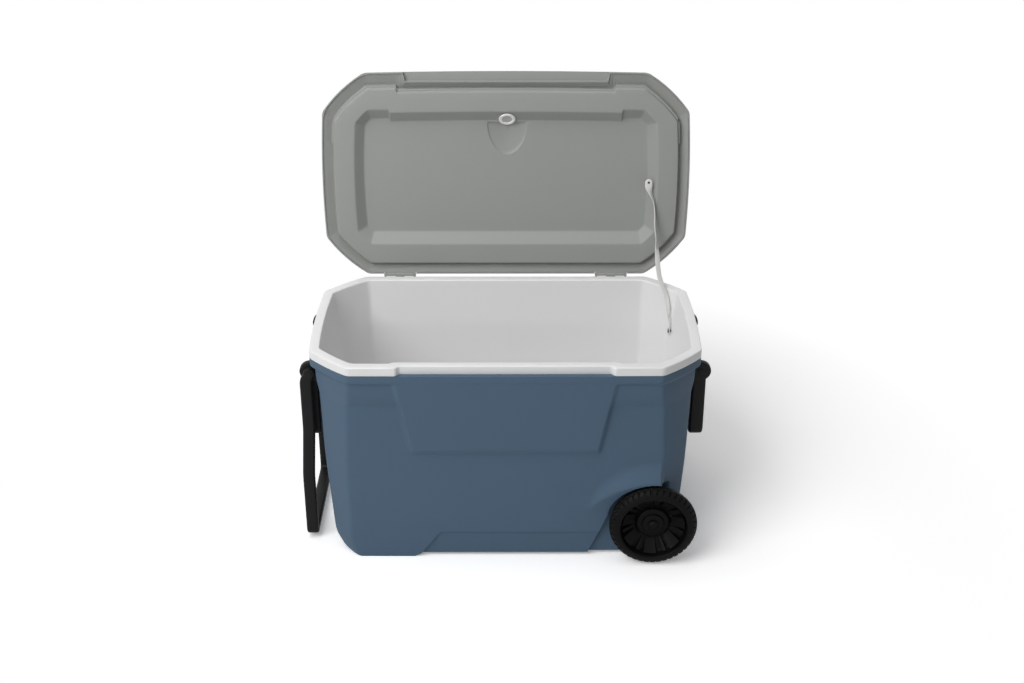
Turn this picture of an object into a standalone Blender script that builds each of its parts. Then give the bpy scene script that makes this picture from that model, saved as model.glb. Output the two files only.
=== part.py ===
# Wheeled cooler, lid open: a foam-filled tub and lid, two carry handles, a tow handle and two wheels.
# Metres, +Z up. X runs along the cooler, with the wheels at +X, and the hinges are at +Y.
import math
from collections import namedtuple

import bmesh
import bpy
from mathutils import Matrix, Vector

# Clearances
GAP = 0.0003
OVERRUN = 0.05

# Rim, seen from above an oblong with bowed sides and cut corners
RIM_HEIGHT = 0.410
RIM_LENGTH = 0.700
RIM_WIDTH = 0.386
RIM_CORNER_X = 0.073
RIM_CORNER_Y = 0.0685
END_BOW = 0.004
CORNER_BOW = 0.003
SIDE_BOW = 0.001
BAND_HEIGHT = 0.0165
BAND_ROUND = 0.0025
NOTCH_HALF = 0.1835
NOTCH_SLANT = 0.010
NOTCH_DEPTH = 0.0075

# Outer shell
SHELL_WALL = 0.003
LIP_WIDTH = 0.0148
FLANGE_HEIGHT = 0.0155
FLANGE_STEP_X = 0.009
FLANGE_STEP_Y = 0.005
FLANGE_STEP_HEIGHT = 0.004
CREASE_DEPTH = 0.085
CREASE_INSET_X = 0.015
CREASE_INSET_Y = 0.013
CREASE_CORNER_X = 0.053
CREASE_CORNER_Y = 0.050
MIDDLE_DEPTH = 0.214
MIDDLE_INSET_X = 0.0185
MIDDLE_INSET_Y = 0.0155
MIDDLE_CORNER_X = 0.0445
MIDDLE_CORNER_Y = 0.042
TOE_HEIGHT = 0.036
TOE_INSET_X = 0.0305
TOE_INSET_Y = 0.0185
TOE_CORNER_X = 0.033
TOE_CORNER_Y = 0.0315
TOE_ROUND_X = 0.0155
TOE_ROUND_HEIGHT = 0.010
SOLE_ROUND_X = 0.0315
SOLE_CORNER_X = 0.015
SOLE_CORNER_Y = 0.0145

# Raised panel on the front, and the plinth between the foot and the wheels
PANEL_TOP_HALF = 0.199
PANEL_FOOT_HALF = 0.1655
PANEL_TOP_DEPTH = 0.020
PANEL_FOOT_DEPTH = 0.1755
PANEL_PROUD = 0.005
PANEL_BEVEL = 0.0035
PLINTH_RAISE = 0.012
PLINTH_HEIGHT = 0.055
PLINTH_START_X = -0.158
PLINTH_SLANT = 0.037
PLINTH_SET_BACK = 0.010
HEEL_SLANT = 0.012

# Wheels and axle
WHEEL_RADIUS = 0.081
WHEEL_X = 0.272
WHEEL_INSET = 0.003
WHEEL_WIDTH = 0.034
TREAD_CROWN = 0.0055
TREAD_GROOVES = 18
TREAD_GROOVE_WIDTH = 0.006
TREAD_GROOVE_DEPTH = 0.0035
TREAD_BAND = 0.012
SIDEWALL_BAND = 0.008
HUB_RADIUS = 0.031
HUB_STEP_RADIUS = 0.020
WHEEL_POCKETS = 7
POCKET_DEPTH = 0.004
AXLE_RADIUS = 0.005
AXLE_CLEARANCE = 0.00008
CAP_RADIUS = 0.0095
CAP_DEPTH = 0.005
WASHER_RADIUS = 0.012
WELL_CLEARANCE = 0.0035
WELL_BACK_GAP = 0.009
RECESS_FOOT_X = 0.154
RECESS_TOP_X = 0.191
RECESS_TOP_HEIGHT = 0.0995
FENDER_PROUD = 0.0145
FENDER_LIP = 0.004
FENDER_SPREAD = 0.014
FENDER_START_HEIGHT = 0.105
FENDER_END_X = 0.286
CHANNEL_WIDTH = 0.018
CHANNEL_LAND = 0.034
HUB_FACE = 0.001
DISH_STEP = 0.002
DISH_SLANT = 0.004
WEB_DROP = 0.003
WEB_THICKNESS = 0.006
SHOULDER_DEPTH = 0.005
GROOVE_SHARE = 0.30
POCKET_MARGIN = 0.002
POCKET_SHARE = 0.32
AXLE_STUB = 0.0035
WASHER_THICKNESS = 0.0015
WHEEL_SIDES = 40

# Liner and foam
LINER_WALL = 0.0025
RIM_FACE = 0.018
MOUTH_INSET = 0.022
MOUTH_DEPTH = 0.030
BASIN_INSET_X = 0.030
BASIN_INSET_Y = 0.030
BASIN_DEPTH = 0.090
FLOOR_INSET_X = 0.054
FLOOR_INSET_Y = 0.042
FLOOR_HEIGHT = 0.065
HUMP_X = 0.240
HUMP_HEIGHT = 0.110
BAND_WALL = 0.003

# Lid, as it stands when it is shut, with heights above the rim
LID_OPEN = math.radians(100.5)
LID_SEAT_GAP = 0.0006
LID_WALL = 0.0025
LID_EDGE_INSET = 0.0008
LID_SHOULDER = 0.030
LID_SHOULDER_INSET = 0.002
LID_BREAK = 0.038
LID_BREAK_INSET = 0.009
LID_HEIGHT = 0.042
LID_TOP_INSET = 0.020
LID_PANEL_INSET = 0.034
LID_PANEL_DEPTH = 0.002
FINGER_HALF = 0.1925
FINGER_REACH = 0.011
FINGER_HEIGHT = 0.008
RIDGE_INSET = 0.0205
RIDGE_WIDTH = 0.005
RIDGE_DROP = 0.006
FACE_DROP = 0.002
SLOPE_INSET = 0.066
SLOPE_WIDTH = 0.0215
DISH_RISE = 0.012
SCOOP_HALF = 0.039
SCOOP_LENGTH = 0.059
SCOOP_DEPTH = 0.0014
FILL_PLUG_RADIUS = 0.016
FILL_PLUG_THICKNESS = 0.0028
FILL_PLUG_STEM = 0.009
FILL_PLUG_STEM_LENGTH = 0.008
TRAY_WALL = 0.003
DISH_SHIFT = 0.007
PLUG_X = 0.004
PLUG_MARGIN = 0.003
PLUG_BOSS_DEPTH = 0.004
PLUG_RING_SHARE = 0.8
SCOOP_SET = 0.003
PAD_RISE = 0.002

# Hinges
HINGE_AXIS_OUT = 0.0045
HINGE_AXIS_UP = 0.003
KNUCKLE_RADIUS = 0.004
HINGE_PIN_RADIUS = 0.0018
HINGE_X = 0.2085
HINGE_HALF = 0.031
KNUCKLE_MIDDLE_HALF = 0.0087
KNUCKLE_OUTER_START = 0.0268
LEAF_THICKNESS = 0.002
LEAF_DROP = 0.030
LEAF_RISE = 0.024
SCREW_RADIUS = 0.0017
SCREW_LENGTH = 0.007
SCREW_HEAD_RADIUS = 0.0034
SCREW_HEAD_HEIGHT = 0.0016
SCREW_SIDES = 8
DOME_SHARE = 0.6
LEAF_SCREW_SHARE = 0.8

# Handles, hanging
PIVOT_OUT = 0.004
PIVOT_DEPTH = 0.0545
PIVOT_PIN_RADIUS = 0.003
PIVOT_CLEARANCE = 0.00008
CARRY_BAR = 0.012
CARRY_WIDTH = 0.025
CARRY_GRIP = 0.022
CARRY_DROP = 0.1355
HANDLE_EDGE = 0.003
EYE_TRIM_SHARE = 0.4
EYE_ANGLES = (78, 55, 30, 0)
TOW_BAR = 0.012
TOW_GRIP = 0.014
TOW_WIDTH = 0.0225
TOW_SHIFT = 0.0045
TOW_SHIFT_END = 0.022
TOW_KINK = 0.0065
TOW_KINK_START = 0.115
TOW_KINK_END = 0.215
TOW_DROP = 0.3405
EAR_RADIUS = 0.0185
EAR_THICKNESS = 0.012
SIDE_PLAY = 0.0005
EAR_INSET = 0.0935
EAR_SCREW_OFFSET = 0.011
EAR_SCREW_LAND = 0.006
EAR_SCREW_LENGTH = 0.013
PIN_HEAD_RADIUS = 0.0055
PIN_HEAD_HEIGHT = 0.0015

# Drain, low in the end away from the wheels
DRAIN_FLOOR_GAP = 0.001
DRAIN_BORE = 0.0075
DRAIN_TUBE = 0.0105
DRAIN_FLANGE = 0.019
DRAIN_FLANGE_THICKNESS = 0.003
DRAIN_SEAT_DEPTH = 0.0012
DRAIN_BOSS_MARGIN = 0.002
DRAIN_BOSS_DEPTH = 0.004
DRAIN_WALL_REACH = 0.008
DRAIN_NUT = 0.016
DRAIN_NUT_THICKNESS = 0.006
DRAIN_GASKET = 0.0015
DRAIN_PLUG_HEAD = 0.013
DRAIN_PLUG_HEAD_THICKNESS = 0.005
DRAIN_PLUG_STEM = 0.018
DRAIN_TAB_LENGTH = 0.008
DRAIN_TAB_THICKNESS = 0.003

# Strap that stops the lid
STRAP_WIDTH = 0.010
STRAP_THICKNESS = 0.0015
STRAP_LID_X = 0.278
STRAP_LID_REACH = 0.1794
STRAP_TUB_INSET = 0.088
STRAP_TUB_DEPTH = 0.077
STRAP_PIN_RADIUS = 0.002
STRAP_PIN_HEAD = 0.0045
STRAP_PIN_HEAD_HEIGHT = 0.0015
STRAP_PIN_LENGTH = 0.0035
STRAP_LEAN = 0.019
STRAP_SAG = 0.017
STRAP_STEPS = 14
STRAP_EYE_RADIUS = 0.007
STRAP_EYE_ANGLES = (-75, -50, -25, 0, 25, 44)
STRAP_BOSS_RADIUS = 0.008
STRAP_BOSS_DEPTH = 0.006
STRAP_TUB_X = 0.3195

ROUND = 32
SMALL_ROUND = 16
EAR_SIDES = 20

Section = namedtuple("Section", "z x y corner_x corner_y")
BLUE = ("tub_blue", (0.075, 0.125, 0.185), 0.45, 0.0)
GREY = ("lid_grey", (0.27, 0.285, 0.265), 0.5, 0.0)
WHITE = ("liner_white", (0.82, 0.82, 0.82), 0.35, 0.0)
BLACK = ("handle_black", (0.018, 0.018, 0.019), 0.45, 0.0)
STEEL = ("steel", (0.55, 0.56, 0.57), 0.3, 1.0)
FOAM = ("foam_yellow", (0.72, 0.62, 0.36), 0.9, 0.0)
RUBBER = ("gasket_rubber", (0.03, 0.03, 0.03), 0.8, 0.0)
STRAP = ("strap_white", (0.78, 0.78, 0.77), 0.5, 0.0)

model = None
cutters = None


def clear_scene():
    for old in list(bpy.data.objects):
        bpy.data.objects.remove(old, do_unlink=True)


def collection(name):
    made = bpy.data.collections.new(name)
    bpy.context.scene.collection.children.link(made)
    return made


def material(spec):
    name, colour, roughness, metallic = spec
    found = bpy.data.materials.get(name)
    if found:
        return found
    made = bpy.data.materials.new(name)
    made.use_nodes = True
    shader = made.node_tree.nodes["Principled BSDF"]
    shader.inputs["Base Color"].default_value = (*colour, 1.0)
    shader.inputs["Roughness"].default_value = roughness
    shader.inputs["Metallic"].default_value = metallic
    made.diffuse_color = (*colour, 1.0)
    return made


def add(name, mesh, spec=None):
    """A piece of the model, or a cutter when no material is given."""
    made = bpy.data.objects.new(name, mesh)
    (model if spec else cutters).objects.link(made)
    if spec:
        mesh.materials.clear()
        mesh.materials.append(material(spec))
    else:
        made.hide_render = True
        made.display_type = "WIRE"
    return made


def finish(name, bm, spec=None):
    bmesh.ops.recalc_face_normals(bm, faces=bm.faces)
    mesh = bpy.data.meshes.new(name)
    bm.to_mesh(mesh)
    bm.free()
    return add(name, mesh, spec)


def smooth(piece, degrees=40):
    piece.data.shade_smooth()
    piece.data.set_sharp_from_angle(angle=math.radians(degrees))


def boolean(piece, operation, other):
    step = piece.modifiers.new(other.name, "BOOLEAN")
    step.operation = operation
    step.solver = "EXACT"
    step.object = other


def cut(piece, *others):
    for other in others:
        boolean(piece, "DIFFERENCE", other)


def join(piece, *others):
    for other in others:
        boolean(piece, "UNION", other)


def box(name, low, high, spec=None):
    bm = bmesh.new()
    size = [h - l for l, h in zip(low, high)]
    middle = [(h + l) / 2 for l, h in zip(low, high)]
    place = Matrix.Translation(middle) @ Matrix.Diagonal((*size, 1))
    bmesh.ops.create_cube(bm, size=1, matrix=place)
    return finish(name, bm, spec)


def turn_to(axis):
    return Vector(axis).to_track_quat("Z", "Y").to_matrix().to_4x4()


def rod(name, radius, start, end, sides=SMALL_ROUND, spec=None, end_radius=None):
    """A cylinder or cone between two points."""
    start, end = Vector(start), Vector(end)
    bm = bmesh.new()
    place = Matrix.Translation((start + end) / 2) @ turn_to(end - start)
    bmesh.ops.create_cone(bm, cap_ends=True, segments=sides, radius1=radius,
                          radius2=radius if end_radius is None else end_radius,
                          depth=(end - start).length, matrix=place)
    return finish(name, bm, spec)


def rods(name, radius, spans):
    """One cutter made of several separate cylinders."""
    bm = bmesh.new()
    for start, end in spans:
        start, end = Vector(start), Vector(end)
        place = Matrix.Translation((start + end) / 2) @ turn_to(end - start)
        bmesh.ops.create_cone(bm, cap_ends=True, segments=SCREW_SIDES, radius1=radius, radius2=radius,
                              depth=(end - start).length, matrix=place)
    return finish(name, bm)


def loft(name, rings, spec=None):
    """A closed skin over rings with the same number of points, split the same way in every nested skin."""
    bm = bmesh.new()
    loops = [[bm.verts.new(p) for p in ring] for ring in rings]
    for low, high in zip(loops, loops[1:]):
        for i in range(len(low)):
            j = (i + 1) % len(low)
            bm.faces.new((low[i], low[j], high[j]))
            bm.faces.new((low[i], high[j], high[i]))
    bm.faces.new(list(reversed(loops[0])))
    bm.faces.new(loops[-1])
    return finish(name, bm, spec)


def turned(name, profile, base, axis, steps=ROUND, spec=None):
    """A profile of (radius, height) points, down its outer side, turned about an axis."""
    mesh = bpy.data.meshes.new(name)
    points = [(r, 0.0, h) for r, h in profile]
    closed = profile[0][0] > 0 and profile[-1][0] > 0
    edges = [(i, i + 1) for i in range(len(points) - 1)]
    if closed:
        edges.append((len(points) - 1, 0))
    mesh.from_pydata(points, edges, [])
    piece = add(name, mesh, spec)
    screw = piece.modifiers.new("turn", "SCREW")
    screw.steps = screw.render_steps = steps
    screw.use_merge_vertices = True
    screw.merge_threshold = GAP / 100
    weld = piece.modifiers.new("poles", "WELD")
    weld.merge_threshold = GAP / 100
    piece.matrix_world = Matrix.Translation(base) @ turn_to(axis)
    return piece


def inset(section, by):
    """The section drawn in by the same distance all round."""
    slant = math.hypot(section.corner_x, section.corner_y)
    loss = section.corner_x + section.corner_y - slant
    return Section(section.z, section.x - by, section.y - by,
                   section.corner_x - by * loss / section.corner_y,
                   section.corner_y - by * loss / section.corner_x)


def squeeze(section, by_x, by_y):
    return section._replace(x=section.x - by_x, y=section.y - by_y)


def at_height(section, z):
    return section._replace(z=z)


def bowed(start, end, bow, shares):
    """Points along an edge that bows outwards, at shares of its length."""
    start, end = Vector(start), Vector(end)
    along = end - start
    out = Vector((along.y, -along.x, 0)).normalized()
    return [start + along * s + out * bow * 4 * s * (1 - s) for s in shares]


def ring(section, notch=0.0, notch_half=NOTCH_HALF):
    """The outline of a section, with the step in the middle of the front."""
    z = section.z
    half_front = section.x - section.corner_x
    half_end = section.y - section.corner_y
    fl, fr = (-half_front, -section.y, z), (half_front, -section.y, z)
    rf, rb = (section.x, -half_end, z), (section.x, half_end, z)
    br, bl = (half_front, section.y, z), (-half_front, section.y, z)
    lb, lf = (-section.x, half_end, z), (-section.x, -half_end, z)
    outer = notch_half + NOTCH_SLANT
    stops = (-half_front, -outer, -notch_half, -notch_half / 2, 0, notch_half / 2, notch_half, outer)
    front = bowed(fl, fr, SIDE_BOW, [(x / half_front + 1) / 2 for x in stops])
    for point, x in zip(front, stops):
        if abs(x) <= notch_half:
            point.y += notch
    thirds, quarters = (0, 1 / 3, 2 / 3), (0, 1 / 4, 1 / 2, 3 / 4)
    return (front + bowed(fr, rf, CORNER_BOW, thirds) + bowed(rf, rb, END_BOW, quarters)
            + bowed(rb, br, CORNER_BOW, thirds) + bowed(br, bl, 0.0, quarters)
            + bowed(bl, lb, CORNER_BOW, thirds) + bowed(lb, lf, END_BOW, quarters)
            + bowed(lf, fl, CORNER_BOW, thirds))


RIM = Section(RIM_HEIGHT, RIM_LENGTH / 2, RIM_WIDTH / 2, RIM_CORNER_X, RIM_CORNER_Y)
FLANGE_TOP = RIM_HEIGHT - BAND_HEIGHT
FLANGE_BOTTOM = FLANGE_TOP - FLANGE_HEIGHT
CREASE = Section(RIM_HEIGHT - CREASE_DEPTH, RIM.x - CREASE_INSET_X, RIM.y - CREASE_INSET_Y,
                 CREASE_CORNER_X, CREASE_CORNER_Y)
MIDDLE = Section(RIM_HEIGHT - MIDDLE_DEPTH, RIM.x - MIDDLE_INSET_X, RIM.y - MIDDLE_INSET_Y,
                 MIDDLE_CORNER_X, MIDDLE_CORNER_Y)
TOE = Section(TOE_HEIGHT, RIM.x - TOE_INSET_X, RIM.y - TOE_INSET_Y, TOE_CORNER_X, TOE_CORNER_Y)
SOLE_Y = TOE.y - (MIDDLE.y - TOE.y) * TOE.z / (MIDDLE.z - TOE.z)
WHEEL_Y = RIM.y - WHEEL_INSET
WHEEL_FRONT_Y = WHEEL_Y + WHEEL_WIDTH / 2
WELL_BACK_Y = WHEEL_Y - WHEEL_WIDTH / 2 - WELL_BACK_GAP
CHANNEL_HALF = WELL_BACK_Y - CHANNEL_LAND
SIDEWALL_RADIUS = WHEEL_RADIUS - TREAD_BAND
DISH_RADIUS = SIDEWALL_RADIUS - SIDEWALL_BAND
WELL_RADIUS = WHEEL_RADIUS + WELL_CLEARANCE
EAR_Y = RIM.y - EAR_INSET
CARRY_HALF = EAR_Y - EAR_THICKNESS / 2 - SIDE_PLAY
TOW_HALF = EAR_Y + EAR_THICKNESS / 2 + SIDE_PLAY + TOW_BAR
PIVOT_X = RIM.x + PIVOT_OUT
PIVOT_Z = RIM_HEIGHT - PIVOT_DEPTH
STRAP_TUB_Y = RIM.y - STRAP_TUB_INSET
HINGE_Y = RIM.y + HINGE_AXIS_OUT
HINGE_Z = RIM_HEIGHT + HINGE_AXIS_UP


def shell_sections(wall=0.0):
    """The outside of the shell from the sole up, or the same drawn in by a wall."""
    step = squeeze(at_height(RIM, FLANGE_BOTTOM - FLANGE_STEP_HEIGHT), FLANGE_STEP_X, FLANGE_STEP_Y)
    step = step._replace(corner_x=RIM.corner_x - FLANGE_STEP_X, corner_y=RIM.corner_y - FLANGE_STEP_Y)
    sole = Section(wall, TOE.x - SOLE_ROUND_X, SOLE_Y, SOLE_CORNER_X, SOLE_CORNER_Y)
    heel = Section(TOE_ROUND_HEIGHT + wall, TOE.x - TOE_ROUND_X, SOLE_Y,
                   (SOLE_CORNER_X + TOE_CORNER_X) / 2, (SOLE_CORNER_Y + TOE_CORNER_Y) / 2)
    names = [sole, heel, TOE, MIDDLE, CREASE, step, at_height(RIM, FLANGE_BOTTOM),
             at_height(RIM, FLANGE_TOP)]
    drawn = [inset(s, wall) for s in names]
    if wall:
        drawn[-3] = at_height(drawn[-3], FLANGE_BOTTOM - FLANGE_STEP_HEIGHT + wall / 2)
        drawn[-2] = at_height(drawn[-2], FLANGE_BOTTOM + wall)
        drawn[-1] = at_height(drawn[-1], FLANGE_TOP - wall)
    return drawn


def shell_x_at(z):
    """Half length of the shell at a height, at the middle of an end."""
    sections = shell_sections()
    for low, high in zip(sections, sections[1:]):
        if low.z <= z <= high.z and high.z > low.z:
            share = (z - low.z) / (high.z - low.z)
            return low.x + (high.x - low.x) * share + END_BOW
    return sections[-1].x + END_BOW


def liner_sections(grow=0.0):
    """The inside of the basin from the floor up to the rim face, or grown outwards."""
    floor = Section(FLOOR_HEIGHT - grow, RIM.x - FLOOR_INSET_X, RIM.y - FLOOR_INSET_Y,
                    TOE_CORNER_X, TOE_CORNER_Y)
    basin = Section(RIM_HEIGHT - BASIN_DEPTH, RIM.x - BASIN_INSET_X, RIM.y - BASIN_INSET_Y,
                    CREASE_CORNER_X, CREASE_CORNER_Y)
    mouth = at_height(inset(RIM, MOUTH_INSET), RIM_HEIGHT - MOUTH_DEPTH)
    face = inset(RIM, RIM_FACE)
    return [inset(s, -grow) for s in (floor, basin, mouth, face)]


def prism(name, outline, y_front, y_back):
    """An outline in X and Z carried along Y, both ends on the same side of the cooler."""
    return loft(name, [[(x, y_front, z) for x, z in outline], [(x, y_back, z) for x, z in outline]])


def well_cutters(side, grow, tag):
    """The round well of one wheel and the slanted recess beside it. side is -1 at the front."""
    inner = side * (WELL_BACK_Y - grow)
    outer = side * (RIM.y + OVERRUN)
    low = -OVERRUN
    centre = (WHEEL_X, inner, WHEEL_RADIUS)
    well = rod(f"well_{tag}", WELL_RADIUS + grow, centre, (WHEEL_X, outer, WHEEL_RADIUS), ROUND)
    slope = (RECESS_TOP_X - RECESS_FOOT_X) / (RECESS_TOP_HEIGHT - PLINTH_RAISE)
    foot = RECESS_FOOT_X - slope * (PLINTH_RAISE - low) - grow
    outline = [(foot, low), (WHEEL_X, low), (WHEEL_X, RECESS_TOP_HEIGHT + grow),
               (RECESS_TOP_X - grow, RECESS_TOP_HEIGHT + grow)]
    recess = prism(f"recess_{tag}", outline, inner, outer)
    return [well, recess]


def plinth_cutters(side, grow, tag):
    """The undercut face between the foot and the wheel, on one side."""
    top, low = PLINTH_HEIGHT + grow, -OVERRUN
    face = SOLE_Y - grow
    outer = side * (RIM.y + OVERRUN)
    start = PLINTH_START_X - grow
    slope = PLINTH_SLANT / (PLINTH_HEIGHT - PLINTH_RAISE)
    rings = []
    for z, y in ((low, face - PLINTH_SET_BACK), (top, face)):
        x = start + slope * (z - PLINTH_RAISE)
        rings.append([(x, side * y, z), (RECESS_TOP_X, side * y, z), (RECESS_TOP_X, outer, z), (x, outer, z)])
    return loft(f"plinth_{tag}", rings)


def underside_cutter(grow, tag):
    """Lifts the bottom clear of the floor everywhere but the foot."""
    top, low = PLINTH_RAISE + grow, -OVERRUN
    start = PLINTH_START_X - HEEL_SLANT - grow
    slope = HEEL_SLANT / PLINTH_RAISE
    far, wide = RIM.x + OVERRUN, RIM.y + OVERRUN
    rings = []
    for z in (low, top):
        x = start + slope * z
        rings.append([(x, -wide, z), (far, -wide, z), (far, wide, z), (x, wide, z)])
    return loft(f"underside_{tag}", rings)


def hollows(grow, tag):
    """Everything that bites into the outside of the tub, grown by a wall."""
    half = CHANNEL_WIDTH / 2 + grow
    reach = WELL_BACK_Y + OVERRUN if grow else CHANNEL_HALF
    channel = box(f"channel_{tag}", (WHEEL_X - half, -reach, -OVERRUN),
                  (WHEEL_X + half, reach, WHEEL_RADIUS + half))
    found = [underside_cutter(grow, tag), channel]
    for side, end in ((-1, "front"), (1, "back")):
        found += well_cutters(side, grow, f"{tag}_{end}")
        found.append(plinth_cutters(side, grow, f"{tag}_{end}"))
    return found


def outer_solid(name, grow=0.0, spec=None):
    """The outside of the tub as one solid, for the shell and for what seats on it."""
    return loft(name, [ring(s) for s in shell_sections(-grow)], spec)


def front_panel():
    """The raised trapezium on the front, flush with the flange at its top."""
    top, foot = RIM_HEIGHT - PANEL_TOP_DEPTH, RIM_HEIGHT - PANEL_FOOT_DEPTH
    share = (foot - MIDDLE.z) / (CREASE.z - MIDDLE.z)
    wall = MIDDLE.y + (CREASE.y - MIDDLE.y) * share
    rings = []
    for depth, draw, flange in ((-SHELL_WALL, 0.0, RIM.y - SHELL_WALL), (PANEL_PROUD, PANEL_BEVEL, RIM.y)):
        rings.append([(-PANEL_FOOT_HALF + draw, -wall - depth, foot + draw),
                      (PANEL_FOOT_HALF - draw, -wall - depth, foot + draw),
                      (PANEL_TOP_HALF - draw, -flange, top), (-PANEL_TOP_HALF + draw, -flange, top)])
    return loft("front_panel", rings)


def fender(side, tag):
    """The flare over one wheel: a cone that fades out down its sides."""
    base_y = TOE.y - PANEL_PROUD
    lip_y = MIDDLE.y + FENDER_PROUD
    cone = rod(f"fender_{tag}", WELL_RADIUS + FENDER_LIP + FENDER_SPREAD,
               (WHEEL_X, side * base_y, WHEEL_RADIUS), (WHEEL_X, side * lip_y, WHEEL_RADIUS),
               ROUND, end_radius=WELL_RADIUS + FENDER_LIP)
    top = WHEEL_RADIUS + WELL_RADIUS
    slope = FENDER_PROUD / (top - FENDER_START_HEIGHT)
    rings = []
    for x in (RECESS_FOOT_X, FENDER_END_X):
        rings.append([(x, side * (base_y - OVERRUN), FENDER_START_HEIGHT),
                      (x, side * MIDDLE.y, FENDER_START_HEIGHT),
                      (x, side * (MIDDLE.y + FENDER_PROUD + slope * OVERRUN), top + OVERRUN),
                      (x, side * (base_y - OVERRUN), top + OVERRUN)])
    keep = loft(f"fender_keep_{tag}", rings)
    boolean(cone, "INTERSECT", keep)
    return cone


DRAIN_HEIGHT = FLOOR_HEIGHT + DRAIN_NUT + DRAIN_FLOOR_GAP
DRAIN_X = -(shell_x_at(DRAIN_HEIGHT) - DRAIN_SEAT_DEPTH)
DRAIN_INNER_X = -(RIM.x - FLOOR_INSET_X)
LID_BASE = RIM_HEIGHT + LID_SEAT_GAP


def open_lid():
    """The turn that takes a shut lid to where it stands open."""
    axis = Matrix.Translation((0, HINGE_Y, HINGE_Z))
    return axis @ Matrix.Rotation(-LID_OPEN, 4, "X") @ axis.inverted()


def hinge_screws(part, height):
    """Seats of the two screws in each leaf, on the lid or on the tub."""
    offset = (KNUCKLE_MIDDLE_HALF + KNUCKLE_OUTER_START) / 2
    places = {}
    for side, end in ((-1, "left"), (1, "right")):
        for number, along in ((1, -1), (2, 1)):
            x = side * HINGE_X + along * offset
            seat = Vector((x, RIM.y + GAP + LEAF_THICKNESS, height))
            places[f"hinge_screw_{part}_{end}_{number}"] = (seat, Vector((0, -1, 0)))
    return places


def ear_screws():
    places = {}
    for side, end in ((-1, "left"), (1, "right")):
        for way, face in ((-1, "front"), (1, "rear")):
            for number, up in ((1, 1), (2, -1)):
                z = PIVOT_Z + up * EAR_SCREW_OFFSET
                x = side * (shell_x_at(PIVOT_Z) - END_BOW + EAR_SCREW_LAND)
                seat = Vector((x, way * EAR_Y, z))
                places[f"ear_screw_{end}_{face}_{number}"] = (seat, Vector((-side, 0, 0)))
    return places


def bores(name, places, length):
    """Holes for the shanks of screws, from just outside each seat."""
    spans = [(seat - way * SCREW_HEAD_HEIGHT, seat + way * (length + GAP)) for seat, way in places.values()]
    return rods(name, SCREW_RADIUS + GAP, spans)


def screws(places, length):
    profile = [(0, SCREW_HEAD_HEIGHT), (SCREW_HEAD_RADIUS * DOME_SHARE, SCREW_HEAD_HEIGHT),
               (SCREW_HEAD_RADIUS, SCREW_HEAD_HEIGHT * (1 - DOME_SHARE)), (SCREW_HEAD_RADIUS, 0),
               (SCREW_RADIUS, 0), (SCREW_RADIUS, SCREW_RADIUS - length), (0, -length)]
    for name, (seat, way) in places.items():
        piece = turned(name, profile, seat - way * GAP, -way, SCREW_SIDES, STEEL)
        smooth(piece)


def drain_boss(name, grow=0.0):
    """A thicker place in the shell behind the drain's flange."""
    return rod(name, DRAIN_FLANGE + DRAIN_BOSS_MARGIN + grow, (DRAIN_X - OVERRUN, 0, DRAIN_HEIGHT),
               (DRAIN_X + DRAIN_BOSS_DEPTH + grow, 0, DRAIN_HEIGHT))


def drain_hole(name):
    return rod(name, DRAIN_TUBE + GAP, (DRAIN_X - OVERRUN, 0, DRAIN_HEIGHT),
               (DRAIN_INNER_X + OVERRUN, 0, DRAIN_HEIGHT))


def nut_boss(name, grow=0.0):
    """A flat place on the liner's wall for the drain's nut."""
    start = DRAIN_INNER_X - DRAIN_WALL_REACH - grow
    return rod(name, DRAIN_NUT + DRAIN_BOSS_MARGIN + grow, (start, 0, DRAIN_HEIGHT),
               (DRAIN_INNER_X, 0, DRAIN_HEIGHT))


def build_tub(tub_bores, ear_bores):
    """The outer shell, and the foam between it and the liner."""
    shell = outer_solid("shell", spec=BLUE)
    join(shell, front_panel(), fender(-1, "front"), fender(1, "back"))
    cut(shell, *hollows(0.0, "outside"))
    opening = inset(RIM, LIP_WIDTH)
    rings = [ring(s) for s in shell_sections(SHELL_WALL)]
    rings += [ring(at_height(opening, FLANGE_TOP - SHELL_WALL)), ring(at_height(opening, FLANGE_TOP + OVERRUN))]
    cavity = loft("cavity", rings)
    cut(cavity, *hollows(SHELL_WALL, "wall"), drain_boss("drain_boss"))
    seat = rod("drain_seat", DRAIN_FLANGE + GAP, (DRAIN_X - OVERRUN, 0, DRAIN_HEIGHT),
               (DRAIN_X, 0, DRAIN_HEIGHT), ROUND)
    half = WHEEL_Y
    axle_bore = rod("axle_bore", AXLE_RADIUS + AXLE_CLEARANCE, (WHEEL_X, -half, WHEEL_RADIUS),
                    (WHEEL_X, half, WHEEL_RADIUS), ROUND)
    hole = drain_hole("drain_hole")
    cut(shell, cavity, axle_bore, seat, hole, tub_bores, ear_bores)
    smooth(shell)

    foam = loft("tub_foam", [ring(s) for s in shell_sections(SHELL_WALL + GAP)], FOAM)
    space = liner_sections(LINER_WALL + GAP)
    space[-1] = at_height(space[-1], FLANGE_TOP)
    space.append(at_height(space[-1], FLANGE_TOP + OVERRUN))
    basin = loft("liner_space", [ring(s) for s in space])
    step = box("hump_space", (HUMP_X + LINER_WALL + GAP, -RIM.y, 0),
               (RIM.x, RIM.y, HUMP_HEIGHT - LINER_WALL - GAP))
    cut(basin, step)
    cut(foam, *hollows(SHELL_WALL + GAP, "foam"), drain_boss("drain_boss_space", GAP),
        nut_boss("nut_boss_space", GAP), basin, hole, tub_bores, ear_bores)


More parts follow.
